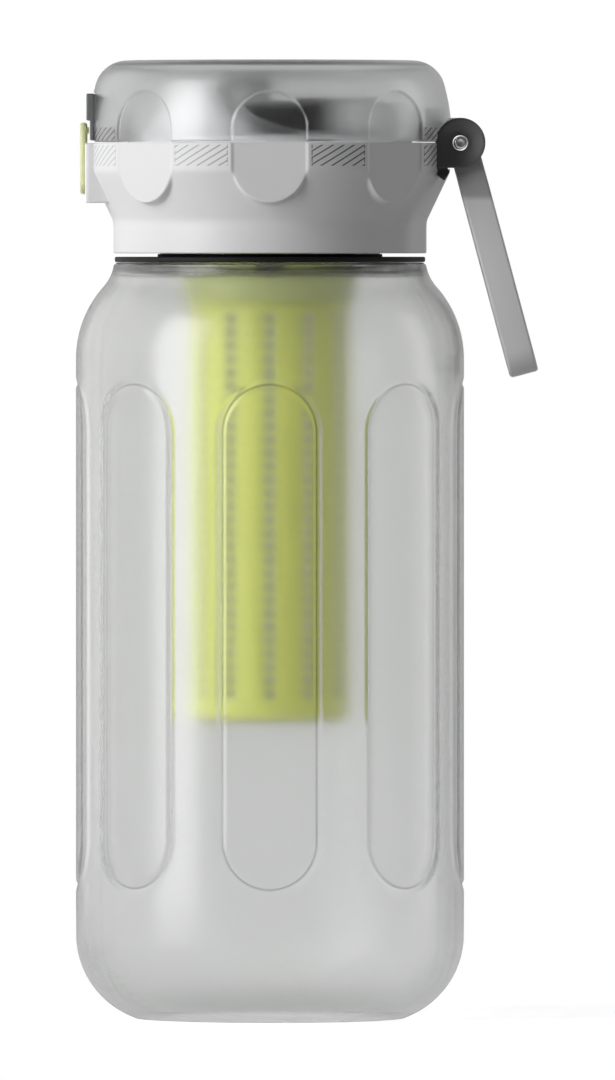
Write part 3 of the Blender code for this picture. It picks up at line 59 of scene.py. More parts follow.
Point = tuple[float, float, float]
Tone = tuple[float, float, float]
Span = tuple[float, float]
Profile = list[Span]
Rule = Callable[[float, float, float], Point]
Solid = bpy.types.Object
Socket = bpy.types.NodeSocket
Sockets = bpy.types.bpy_prop_collection


class Operation(Enum):
    """What a second shape does to the first."""

    JOIN = "UNION"
    CUT = "DIFFERENCE"
    KEEP = "INTERSECT"


class Body(Enum):
    """The moving bodies of the frame."""

    BOTTLE = "bottle"
    RING = "ring"
    CAP = "cap"
    LID = "lid"
    HANDLE = "handle"
    ROCKER = "rocker"
    FILTER = "filter"
    TUBE = "tube"


def smooth(value: float) -> float:
    """A soft step from 0 to 1 over the unit interval."""
    value = min(1.0, max(0.0, value))
    return value * value * (3.0 - 2.0 * value)


def metres(point: Sequence[float]) -> Point:
    """A place or a step in metres."""
    return tuple(part * MM for part in point)


def arc(center: Span, radius: float, start: float, end: float, steps: int) -> Profile:
    """Points along an arc.

    Args:
        center: The arc's centre in its plane.
        radius: The arc's radius.
        start: The first angle in degrees, from the plane's first axis towards its second.
        end: The last angle in degrees.
        steps: How many pieces the arc has.

    Returns:
        The points from the first angle to the last.
    """
    turns = [math.radians(start + (end - start) * step / steps) for step in range(steps + 1)]
    return [(center[0] + radius * math.cos(turn), center[1] + radius * math.sin(turn)) for turn in turns]


def levels(low: float, high: float, step: float) -> list[float]:
    """Heights from low up to high, both included, no more than step apart."""
    count = max(1, math.ceil(abs(high - low) / step))
    return [low + (high - low) * index / count for index in range(count + 1)]


class Bench:
    """The modelling bench: how a piece is begun, shaped and finished."""

    @staticmethod
    def clear() -> None:
        """Leave edit mode and deselect everything."""
        if bpy.context.object is not None and bpy.context.object.mode != "OBJECT":
            bpy.ops.object.mode_set(mode="OBJECT")
        bpy.ops.object.select_all(action="DESELECT")

    @staticmethod
    def pick(obj: Solid) -> None:
        """Select one piece alone and make it active."""
        Bench.clear()
        obj.select_set(True)
        bpy.context.view_layer.objects.active = obj

    @staticmethod
    def named(name: str) -> Solid:
        """Give the primitive just added its name."""
        obj = bpy.context.object
        obj.name = name
        obj.data.name = name
        return obj

    @staticmethod
    def line(name: str, points: Sequence[Point]) -> Solid:
        """Draw a chain of edges, point by point.

        Args:
            name: The piece's name.
            points: The chain's points in order.

        Returns:
            The new piece, in edit mode with its last point selected.
        """
        Bench.clear()
        points = [metres(point) for point in points]
        bpy.ops.mesh.primitive_plane_add(size=MM, location=(0.0, 0.0, 0.0))
        obj = Bench.named(name)
        bpy.ops.object.mode_set(mode="EDIT")
        bpy.ops.mesh.merge(type="CENTER")
        bpy.ops.transform.translate(value=points[0])
        for before, after in zip(points, points[1:]):
            step = Vector(after) - Vector(before)
            bpy.ops.mesh.extrude_region_move(TRANSFORM_OT_translate={"value": step})
        return obj

    @staticmethod
    def close_line() -> None:
        """Join the chain being edited to a ring of edges."""
        mesh = bmesh.from_edit_mesh(bpy.context.object.data)
        for vert in mesh.verts:
            vert.select = len(vert.link_edges) == 1
        mesh.select_flush_mode()
        bpy.ops.mesh.edge_face_add()

    @staticmethod
    def turned(name: str, profile: Profile, steps: int, closed: bool = True) -> Solid:
        """Turn a section about Z.

        Args:
            name: The piece's name.
            profile: The section as (radius, height).
            steps: How many columns the turned shape has.
            closed: Whether the section is a ring, and not a chain whose ends are filled with discs.

        Returns:
            The turned piece, in object mode, its faces pointing out.
        """
        obj = Bench.line(name, [(radius, 0.0, z) for radius, z in profile if radius > 0.0])
        if closed:
            Bench.close_line()
        bpy.ops.mesh.select_all(action="SELECT")
        bpy.ops.mesh.spin(steps=steps, angle=2 * math.pi, center=(0.0, 0.0, 0.0), axis=(0.0, 0.0, 1.0))
        bpy.ops.mesh.select_all(action="SELECT")
        bpy.ops.mesh.fill_holes(sides=0)
        bpy.ops.mesh.select_all(action="SELECT")
        bpy.ops.mesh.normals_make_consistent(inside=False)
        bpy.ops.object.mode_set(mode="OBJECT")
        return obj

    @staticmethod
    def slab(name: str, points: Sequence[Point], thickness: Point) -> Solid:
        """Fill an outline and push it through space.

        Args:
            name: The piece's name.
            points: The outline's points in order, in one plane.
            thickness: How far and which way the outline is pushed.

        Returns:
            The closed slab, in object mode.
        """
        obj = Bench.line(name, points)
        Bench.close_line()
        bpy.ops.mesh.select_all(action="SELECT")
        bpy.ops.mesh.edge_face_add()
        bpy.ops.mesh.extrude_region_move(TRANSFORM_OT_translate={"value": metres(thickness)})
        bpy.ops.mesh.select_all(action="SELECT")
        bpy.ops.mesh.normals_make_consistent(inside=False)
        bpy.ops.object.mode_set(mode="OBJECT")
        return obj

    @staticmethod
    def box(name: str, low: Point, high: Point) -> Solid:
        """A block between two corners, as a cutter or the start of a piece."""
        Bench.clear()
        low, high = metres(low), metres(high)
        size = [b - a for a, b in zip(low, high)]
        middle = [(a + b) / 2 for a, b in zip(low, high)]
        bpy.ops.mesh.primitive_cube_add(size=1.0, location=middle)
        obj = Bench.named(name)
        obj.scale = size
        Bench.settle(obj)
        return obj

    @staticmethod
    def rod(name: str, start: Point, end: Point, radius: float, sides: int = 64) -> Solid:
        """A round bar between two points, as a cutter or the start of a piece."""
        Bench.clear()
        first, last = Vector(metres(start)), Vector(metres(end))
        turn = (last - first).to_track_quat("Z", "Y").to_euler()
        bpy.ops.mesh.primitive_cylinder_add(vertices=sides, radius=radius * MM, depth=(last - first).length,
                                            location=(first + last) / 2, rotation=turn)
        obj = Bench.named(name)
        Bench.settle(obj)
        return obj

    @staticmethod
    def settle(obj: Solid) -> None:
        """Put a piece's place, turn and size into its mesh."""
        Bench.pick(obj)
        bpy.ops.object.transform_apply(location=True, rotation=True, scale=True)

    @staticmethod
    def apply(obj: Solid, modifier: bpy.types.Modifier) -> None:
        """Apply one modifier to its piece."""
        Bench.pick(obj)
        bpy.ops.object.modifier_apply(modifier=modifier.name)

    @staticmethod
    def combine(target: Solid, other: Solid, operation: Operation) -> None:
        """Join, cut or trim a piece by another shape, which is used up."""
        modifier = target.modifiers.new("Combine", "BOOLEAN")
        modifier.operation = operation.value
        modifier.solver = "EXACT"
        modifier.object = other
        Bench.apply(target, modifier)
        bpy.data.objects.remove(other)

    @staticmethod
    def round_edges(obj: Solid, width: float, segments: int = 3, angle: float = 35.0) -> None:
        """Round the sharp edges of a piece."""
        modifier = obj.modifiers.new("Round", "BEVEL")
        modifier.width = width * MM
        modifier.segments = segments
        modifier.limit_method = "ANGLE"
        modifier.angle_limit = math.radians(angle)
        modifier.miter_outer = "MITER_ARC"
        Bench.apply(obj, modifier)

    @staticmethod
    def move_points(obj: Solid, rule: Rule) -> None:
        """Mould a turned piece: move each point by a rule on its angle, radius and height."""
        for vert in obj.data.vertices:
            radius = math.hypot(vert.co.x, vert.co.y) / MM
            turn, radius, z = rule(math.atan2(vert.co.y, vert.co.x), radius, vert.co.z / MM)
            vert.co = metres((radius * math.cos(turn), radius * math.sin(turn), z))
        obj.data.update()

    @staticmethod
    def finish(obj: Solid, angle: float = 35.0) -> None:
        """Shade a piece smooth up to an angle."""
        Bench.pick(obj)
        bpy.ops.object.shade_smooth_by_angle(angle=math.radians(angle))


@dataclass(frozen=True)
class Spacing:
    """Columns set close over the flats or panels of a turned shape and wide between them."""

    radius: float
    dense_half: float
    dense_columns: int
    wide_columns: int

    @property
    def columns(self) -> int:
        """Columns all round."""
        return FLAT_SECTORS * (self.dense_columns + self.wide_columns)

    def respace(self, turn: float) -> float:
        """Where an evenly spaced column goes."""
        index = math.floor(turn / SECTOR + 0.5)
        local = turn / SECTOR - index
        dense = self.dense_half / self.radius / SECTOR
        share = self.dense_columns / (self.dense_columns + self.wide_columns) / 2
        if abs(local) <= share:
            moved = local / share * dense
        else:
            past = (abs(local) - share) / (0.5 - share)
            moved = math.copysign(dense + past * (0.5 - dense), local)
        return (index + moved) * SECTOR


@dataclass(frozen=True)
class Stadium:
    """An upright outline with half-circle ends."""

    half_width: float
    bottom: float
    top: float

    def distance(self, across: float, z: float) -> float:
        """How far a point lies outside the outline, less than 0 inside it."""
        low, high = self.bottom + self.half_width, self.top - self.half_width
        return math.hypot(across, z - min(high, max(low, z))) - self.half_width


def sector_of(turn: float) -> tuple[int, float]:
    """The number of the sector that an angle lies in, and the angle from the sector's middle."""
    index = math.floor(turn / SECTOR + 0.5)
    return index % FLAT_SECTORS, turn - index * SECTOR


PANEL = Stadium(11.1, 31.0, 147.2)


# Finishes

class Nodes:
    """A node tree, with short calls to add, feed and mix nodes."""

    def __init__(self, tree: bpy.types.NodeTree, clear: bool = False) -> None:
        """Work on one tree, emptied first if asked."""
        self.tree = tree
        if clear:
            tree.nodes.clear()

    def feed(self, value: object, target: Socket) -> None:
        """Link an output to an input, or set the input's value."""
        if isinstance(value, Socket):
            self.tree.links.new(value, target)
        else:
            target.default_value = value

    def add(self, kind: str, **values: object) -> bpy.types.Node:
        """Add a node.

        Args:
            kind: The node's type.
            values: Its properties, and what feeds its inputs by name with _ for a space.

        Returns:
            The new node.
        """
        node = self.tree.nodes.new(kind)
        for name, value in values.items():
            if hasattr(node, name):
                setattr(node, name, value)
            else:
                self.feed(value, node.inputs[name.replace("_", " ")])
        return node

    def fed(self, kind: str, *values: object, **settings: object) -> Socket:
        """The first output of a new node whose inputs are fed in their order."""
        node = self.add(kind, **settings)
        for value, target in zip(values, node.inputs):
            self.feed(value, target)
        return node.outputs[0]

    def math(self, operation: str, first: object, second: object = 0.0, clamp: bool = False) -> Socket:
        """The output of a math node on numbers or sockets."""
        return self.fed("ShaderNodeMath", first, second, operation=operation, use_clamp=clamp)

    def ramp(self, value: Socket, start: float, end: float, low: float = 0.0, high: float = 1.0,
             kind: str = "SMOOTHSTEP") -> Socket:
        """A number that goes from low to high as the value goes from start to end."""
        return self.fed("ShaderNodeMapRange", value, start, end, low, high, interpolation_type=kind)

    def blend(self, share: object, color: object, other: object, kind: str = "MULTIPLY") -> Socket:
        """A colour changed by another one, by a share."""
        mix = self.add("ShaderNodeMix", data_type="RGBA", blend_type=kind)
        for index, value in ((0, share), (6, color), (7, other)):
            self.feed(value, mix.inputs[index])
        return mix.outputs[2]

    @cached_property
    def place(self) -> Sockets:
        """The place on the piece along X, Y and Z."""
        return self.add("ShaderNodeSeparateXYZ", Vector=self.add("ShaderNodeTexCoord").outputs["Object"]).outputs

    def turn(self, start: float) -> tuple[Socket, Socket]:
        """The turn about Z in radians, and how far it lies from its sector's middle, in sectors."""
        turn = self.math("ARCTAN2", self.place["Y"], self.place["X"])
        laps = self.math("ADD", self.math("DIVIDE", turn, SECTOR), FLAT_SECTORS + start)
        return turn, self.math("SUBTRACT", self.math("FRACT", laps), 0.5)


class Effects:
    """Shader effects that more than one finish uses, each a node group made once."""

    broad_scale: float = 45.0
    bump_height: float = 0.05
    hatch_spacing: float = 2.65
    hatch_radius: float = 41.8
    hatch_slope: float = 0.577
    hatch_softness: float = 0.16
    rim_width: float = 0.26
    rim_share: float = 0.8
    dash_length: float = 1.6
    dash_share: float = 0.7

    @staticmethod
    def group(name: str, takes: dict[str, object], gives: dict[str, str]) -> tuple[Nodes, Sockets, Sockets]:
        """Begin a node group.

        Args:
            name: The group's name.
            takes: Its inputs with their first values.
            gives: Its outputs with their kinds.

        Returns:
            Its nodes, what it is given and what it puts out.
        """
        tree = bpy.data.node_groups.new(name, "ShaderNodeTree")
        for label, value in takes.items():
            kind = "NodeSocketColor" if isinstance(value, tuple) else "NodeSocketFloat"
            tree.interface.new_socket(name=label, in_out="INPUT", socket_type=kind).default_value = value
        for label, kind in gives.items():
            tree.interface.new_socket(name=label, in_out="OUTPUT", socket_type=f"NodeSocket{kind}")
        nodes = Nodes(tree)
        return nodes, nodes.add("NodeGroupInput").outputs, nodes.add("NodeGroupOutput").inputs

    @classmethod
    @cache
    def grain(cls) -> bpy.types.NodeTree:
        """Fine moulding grain: a tone, a roughness and a bumped normal from object coordinates."""
        takes = {"Color": (0.8, 0.8, 0.8, 1.0), "Variation": 0.03, "Roughness": 0.4, "Mottle": 0.35, "Scale": 2500.0,
                 "Depth": 0.1}
        gives = {"Color": "Color", "Roughness": "Float", "Normal": "Vector"}
        nodes, given, out = cls.group("moulding_grain", takes, gives)
        place = nodes.add("ShaderNodeTexCoord").outputs["Object"]
        fine = nodes.add("ShaderNodeTexNoise", Vector=place, Scale=given["Scale"], Detail=3.0)
        broad = nodes.add("ShaderNodeTexNoise", Vector=place, Scale=cls.broad_scale, Detail=2.0)
        swing = nodes.math("SUBTRACT", broad.outputs[0], 0.5)
        changes = [nodes.math("MULTIPLY", swing, given[label]) for label in ("Variation", "Mottle")]
        tone, rough = (nodes.math("ADD", change, 1.0) for change in changes)
        nodes.feed(nodes.blend(1.0, given["Color"], tone), out["Color"])
        nodes.feed(nodes.math("MULTIPLY", rough, given["Roughness"]), out["Roughness"])
        bump = nodes.add("ShaderNodeBump", Distance=cls.bump_height * MM, Strength=given["Depth"],
                         Height=fine.outputs[0])
        nodes.feed(bump.outputs[0], out["Normal"])
        return nodes.tree

    @classmethod
    @cache
    def hatch(cls) -> bpy.types.NodeTree:
        """Slanting hatch lines round the axis, in the windows between the flats: a mask from 0 to 1."""
        nodes, given, out = cls.group("hatch_lines", dict.fromkeys(("Low", "High", "Beyond", "Last", "Width"), 0.0),
                                      {"Mask": "Float"})
        value, place = nodes.math, nodes.place
        turn, local = nodes.turn(0.0)
        along = value("MULTIPLY", turn, cls.hatch_radius * MM)
        up = value("DIVIDE", place["Z"], cls.hatch_slope)
        phase = value("DIVIDE", value("SUBTRACT", along, up), cls.hatch_spacing * MM)
        near = value("ABSOLUTE", value("SUBTRACT", value("FRACT", phase), 0.5))
        gap = value("MULTIPLY", near, cls.hatch_spacing * MM)
        past = value("DIVIDE", value("SUBTRACT", given["Width"], gap), cls.hatch_softness * MM)
        stripe = value("ADD", past, 0.5, clamp=True)
        arm = value("MULTIPLY", value("ABSOLUTE", local), SECTOR)
        window = value("GREATER_THAN", given["Last"], arm)
        for more, less in ((place["Z"], given["Low"]), (given["High"], place["Z"]),
                           (value("ABSOLUTE", place["X"]), given["Beyond"])):
            window = value("MULTIPLY", window, value("GREATER_THAN", more, less))
        rim = value("GREATER_THAN", arm, value("SUBTRACT", given["Last"], cls.rim_width / cls.hatch_radius))
        dash = value("GREATER_THAN", cls.dash_share, value("FRACT", value("DIVIDE", place["Z"], cls.dash_length * MM)))
        lines = value("MAXIMUM", stripe, value("MULTIPLY", value("MULTIPLY", rim, dash), cls.rim_share))
        nodes.feed(value("MULTIPLY", lines, window), out["Mask"])
        return nodes.tree


@dataclass(frozen=True)
class Ramp:
    """A change of tone along an axis, from none at the start to the whole tone at the end."""

    axis: str
    start: float
    end: float
    tone: Tone


@dataclass(frozen=True)
class Finish:
    """A moulded or metal finish with its grain."""

    name: str
    slot: str
    color: Tone
    roughness: float
    metallic: float = 0.0
    variation: float = 0.03
    mottle: float = 0.35
    grain_scale: float = 2500.0
    grain_depth: float = 0.08
    transmission: float = 0.0
    ior: float = 1.45
    subsurface: float = 0.0
    coat: float = 0.0
    coat_roughness: float = 0.2
    specular: float = 0.5
    ramps: tuple[Ramp, ...] = ()

    def build(self) -> bpy.types.Material:
        """The material, made once."""
        found = bpy.data.materials.get(self.name)
        if found is not None:
            return found
        made = bpy.data.materials.new(self.name)
        made.use_nodes = True
        nodes = Nodes(made.node_tree)
        shader = made.node_tree.nodes["Principled BSDF"].inputs
        values = {"Metallic": self.metallic, "IOR": self.ior, "Specular IOR Level": self.specular,
                  "Transmission Weight": self.transmission, "Coat Weight": self.coat,
                  "Coat Roughness": self.coat_roughness}
        if self.subsurface > 0.0:
            values |= {"Subsurface Weight": self.subsurface, "Subsurface Radius": (1.0, 1.0, 1.0),
                       "Subsurface Scale": 1.2 * MM}
        for label, value in values.items():
            shader[label].default_value = value
        grain = nodes.add("ShaderNodeGroup", node_tree=Effects.grain(), Color=(*self.color, 1.0),
                          Variation=self.variation, Roughness=self.roughness, Mottle=self.mottle,
                          Scale=self.grain_scale, Depth=self.grain_depth).outputs
        nodes.feed(self.tint(nodes, grain["Color"]), shader["Base Color"])
        nodes.feed(grain["Roughness"], shader["Roughness"])
        nodes.feed(grain["Normal"], shader["Normal"])
        self.polish(nodes, shader["Coat Weight"])
        return made

    def tint(self, nodes: Nodes, color: Socket) -> Socket:
        """The colour as it reaches the shader, changed by each ramp in turn."""
        for ramp in self.ramps:
            share = nodes.ramp(nodes.place[ramp.axis], ramp.start * MM, ramp.end * MM)
            color = nodes.blend(share, color, (*ramp.tone, 1.0), "MIX")
        return color

    def polish(self, nodes: Nodes, coat: Socket) -> None:
        """Vary the coat over the piece; most finishes leave it even."""

    def dress(self, obj: Solid) -> None:
        """Give a piece this finish all over."""
        obj.data.materials.clear()
        obj.data.materials.append(self.build())


@dataclass(frozen=True)
class HatchedFinish(Finish):
    """A finish with hatch lines between the flats, darker from left to right or the other way."""

    low: float = 0.0
    high: float = 0.0
    half_turn: float = 0.16
    beyond: float = 0.0
    line_width: float = 0.29
    left: float = -25.0
    right: float = 15.0
    left_tone: float = 0.2
    right_tone: float = 0.2

    def tint(self, nodes: Nodes, color: Socket) -> Socket:
        """Darken the colour along the hatch lines."""
        color = super().tint(nodes, color)
        tone = nodes.ramp(nodes.place["X"], self.left * MM, self.right * MM, self.left_tone, self.right_tone, "LINEAR")
        hatch = nodes.add("ShaderNodeGroup", node_tree=Effects.hatch(), Low=self.low * MM, High=self.high * MM,
                          Last=self.half_turn, Beyond=self.beyond * MM, Width=self.line_width * MM)
        return nodes.blend(hatch.outputs["Mask"], color, tone)


@dataclass(frozen=True)
class PanelledFinish(Finish):
    """A finish glossier between the panels than on them, with painted shade in its grooves and edge-on rims."""

    panel: Stadium = PANEL
    wall_radius: float = 45.0
    panel_coat: float = 0.05
    edge_start: float = 0.8
    edge_painted_shade: float = 0.45
    groove_painted_shade: float = 0.62
    groove_reach: float = 0.45
    coat_start: float = 0.4
    coat_reach: float = 0.8

    def outside(self, nodes: Nodes) -> Socket:
        """How far a place lies outside its panel's outline."""
        value, height = nodes.math, nodes.place["Z"]
        across = value("MULTIPLY", nodes.turn(0.5)[1], SECTOR * self.wall_radius * MM)
        low, high = ((self.panel.bottom + self.panel.half_width) * MM, (self.panel.top - self.panel.half_width) * MM)
        rise = value("SUBTRACT", height, value("MINIMUM", value("MAXIMUM", height, low), high))
        reach = value("SQRT", value("ADD", value("MULTIPLY", across, across), value("MULTIPLY", rise, rise)))
        return value("SUBTRACT", reach, self.panel.half_width * MM)

    def tint(self, nodes: Nodes, color: Socket) -> Socket:
        """Paint shade into the colour: in the grooves and where the wall is seen edge on."""
        color = super().tint(nodes, color)
        edge = nodes.ramp(nodes.add("ShaderNodeLayerWeight", Blend=0.5).outputs["Facing"], self.edge_start, 1.0)
        near = nodes.math("DIVIDE", nodes.math("ABSOLUTE", self.outside(nodes)), self.groove_reach * MM)
        line = nodes.math("SUBTRACT", 1.0, near, clamp=True)
        # Painted shade: darker where the wall is seen edge on and along each groove.
        for share, tone in ((edge, self.edge_painted_shade), (line, self.groove_painted_shade)):
            color = nodes.blend(share, color, (tone, tone, tone, 1.0))
        return color

    def polish(self, nodes: Nodes, coat: Socket) -> None:
        """Thin the coat inside the panels' outlines."""
        value = nodes.math
        inside = value("DIVIDE", value("SUBTRACT", -self.coat_start * MM, self.outside(nodes)), self.coat_reach * MM,
                       clamp=True)
        nodes.feed(value("SUBTRACT", self.coat, value("MULTIPLY", inside, self.coat - self.panel_coat)), coat)


@dataclass(frozen=True)
class SleeveFinish(Finish):
    """A finish for a perforated sleeve, with painted shade on the inside where the holes look in."""

    inner_radius: float = 18.0
    inner_reach: float = 0.5
    inner_painted_shade: float = 0.4

    def tint(self, nodes: Nodes, color: Socket) -> Socket:
        """Paint shade into the colour inside the sleeve."""
        value = nodes.math
        square = [value("MULTIPLY", nodes.place[axis], nodes.place[axis]) for axis in ("X", "Y")]
        depth = value("DIVIDE", value("SUBTRACT", self.inner_radius * MM, value("SQRT", value("ADD", *square))),
                      self.inner_reach * MM, clamp=True)
        # Painted shade on the sleeve's inner face.
        return nodes.blend(depth, super().tint(nodes, color), (self.inner_painted_shade, self.inner_painted_shade, self.inner_painted_shade, 1.0))


PALE = (0.76, 0.76, 0.765)
LIME = (0.72, 0.78, 0.10)
CLEAR = {"variation": 0.01, "mottle": 0.0, "grain_scale": 900.0, "grain_depth": 0.0}
SHEEN = {"coat": 0.5, "coat_roughness": 0.4, "specular": 0.8}
FROSTED = PanelledFinish("frosted_wall", "frosted_clear", (0.95, 0.957, 0.953), 0.25, transmission=0.97, ior=1.42,
                         coat=0.25, coat_roughness=0.22, **CLEAR)
# Its two Z ramps are painted shade: a dark line round the rounded edge of the lid's top, lighter again above it.
SMOKE = HatchedFinish("smoke_lid", "smoke_clear", (0.90, 0.905, 0.905), 0.285, transmission=1.0, ior=1.4, coat=0.5,
                      coat_roughness=0.25, low=203.5, high=206.5, beyond=28.0, line_width=0.34, left_tone=0.01,
                      right_tone=0.05, ramps=(Ramp("Z", 220.5, 221.1, (0.22, 0.225, 0.225)),
                                              Ramp("Z", 221.3, 221.8, (0.86, 0.865, 0.865))), **CLEAR)
# Its X ramp is painted light: the button housing's outer face, turned to the lamps, is made nearly white.
CAP_GREY = HatchedFinish("cap_grey", "light_grey", PALE, 0.42, low=197.6, high=202.4, left_tone=0.62, right_tone=0.12,
                         ramps=(Ramp("X", -41.6, -42.6, (0.97, 0.97, 0.97)),))
SPOUT_GREY = Finish("spout_grey", "light_grey", (0.80, 0.80, 0.81), 0.35)
# Its Z ramp is a painted shadow of the hinge and the cap, darkening the loop's top.
HANDLE_GREY = Finish("handle_grey", "light_grey", (0.82, 0.82, 0.83), 0.45,
                     ramps=(Ramp("Z", 189.2, 191.2, (0.46, 0.46, 0.465)),))
LINER_GREY = Finish("liner_grey", "pale_grey", (0.74, 0.75, 0.76), 0.45)
SILICONE = Finish("clear_silicone", "clear_silicone", (0.70, 0.71, 0.72), 0.55, subsurface=0.2)
# Black silicone that also stands for the shade on the shoulder's ledge under the cap.
RING_BLACK_AND_SHADE = Finish("ring_silicone_and_shade", "black_silicone", (0.006, 0.006, 0.006), 0.6, specular=0.25)
# Its X ramp is painted light, lighter towards the ears' right side; its Z ramp makes it darker towards the feet.
BRACKET_GREY = Finish("bracket_grey", "dark_grey", (0.10, 0.10, 0.102), 0.38,
                      ramps=(Ramp("X", 43.0, 50.0, (0.19, 0.19, 0.192)), Ramp("Z", 198.0, 196.0, (0.03, 0.03, 0.03))))
# Near-black also standing for the shade inside the closed lid; its ramps are painted light, lighter towards both sides
# and the top.
INSERT_DARK = Finish("insert_dark", "dark_grey", (0.008, 0.008, 0.008), 0.55, specular=0.2,
                     ramps=(Ramp("X", 10.0, 19.0, (0.8, 0.805, 0.8)), Ramp("Z", 210.8, 214.6, (0.36, 0.365, 0.36)),
                            Ramp("X", -7.0, -13.0, (0.88, 0.885, 0.88))))
TAB_GREY = Finish("tab_grey", "tab_grey", (0.17, 0.175, 0.18), 0.35,
                  ramps=(Ramp("Z", 205.5, 208.5, (0.34, 0.345, 0.35)),))
STEEL = Finish("turned_steel", "steel", (0.85, 0.85, 0.86), 0.38, metallic=1.0, variation=0.08)
SPRING = Finish("spring_wire", "spring_steel", (0.55, 0.55, 0.57), 0.3, metallic=1.0, variation=0.1)
LIME_BUTTON = Finish("lime_button", "lime", (0.93, 0.96, 0.60), 0.28, transmission=0.35, subsurface=0.3)
LIME_FILTER = Finish("lime_filter", "lime_filter", LIME, 0.4, **SHEEN)
LIME_SLEEVE = SleeveFinish("lime_sleeve", "lime_filter", LIME, 0.4, **SHEEN)


@dataclass
class Assembly:
    """A group of pieces that is built, dressed and hung on its bodies."""

    pieces: list[Solid] = field(default_factory=list)

    def place(self, obj: Solid, body: Body, finish: Finish, *nodes: str, angle: float = 35.0) -> None:
        """Finish a piece and let it stand for CAD nodes.

        Args:
            obj: The piece.
            body: The body that it rides on.
            finish: Its finish.
            nodes: The CAD nodes that it replaces.
            angle: The angle up to which its edges are shaded smooth.
        """
        Bench.finish(obj, angle)
        finish.dress(obj)
        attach(obj, body.value)
        if nodes:
            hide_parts(*nodes)
        self.pieces.append(obj)
        LOG.info("%s: %d faces on %s", obj.name, len(obj.data.polygons), body.value)

    def repaint(self, node: str, finish: Finish) -> None:
        """Give a CAD node that stays its finish."""
        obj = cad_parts[node]
        for slot in obj.material_slots:
            slot.material = finish.build()
        LOG.info("%s: kept from the frame", node)


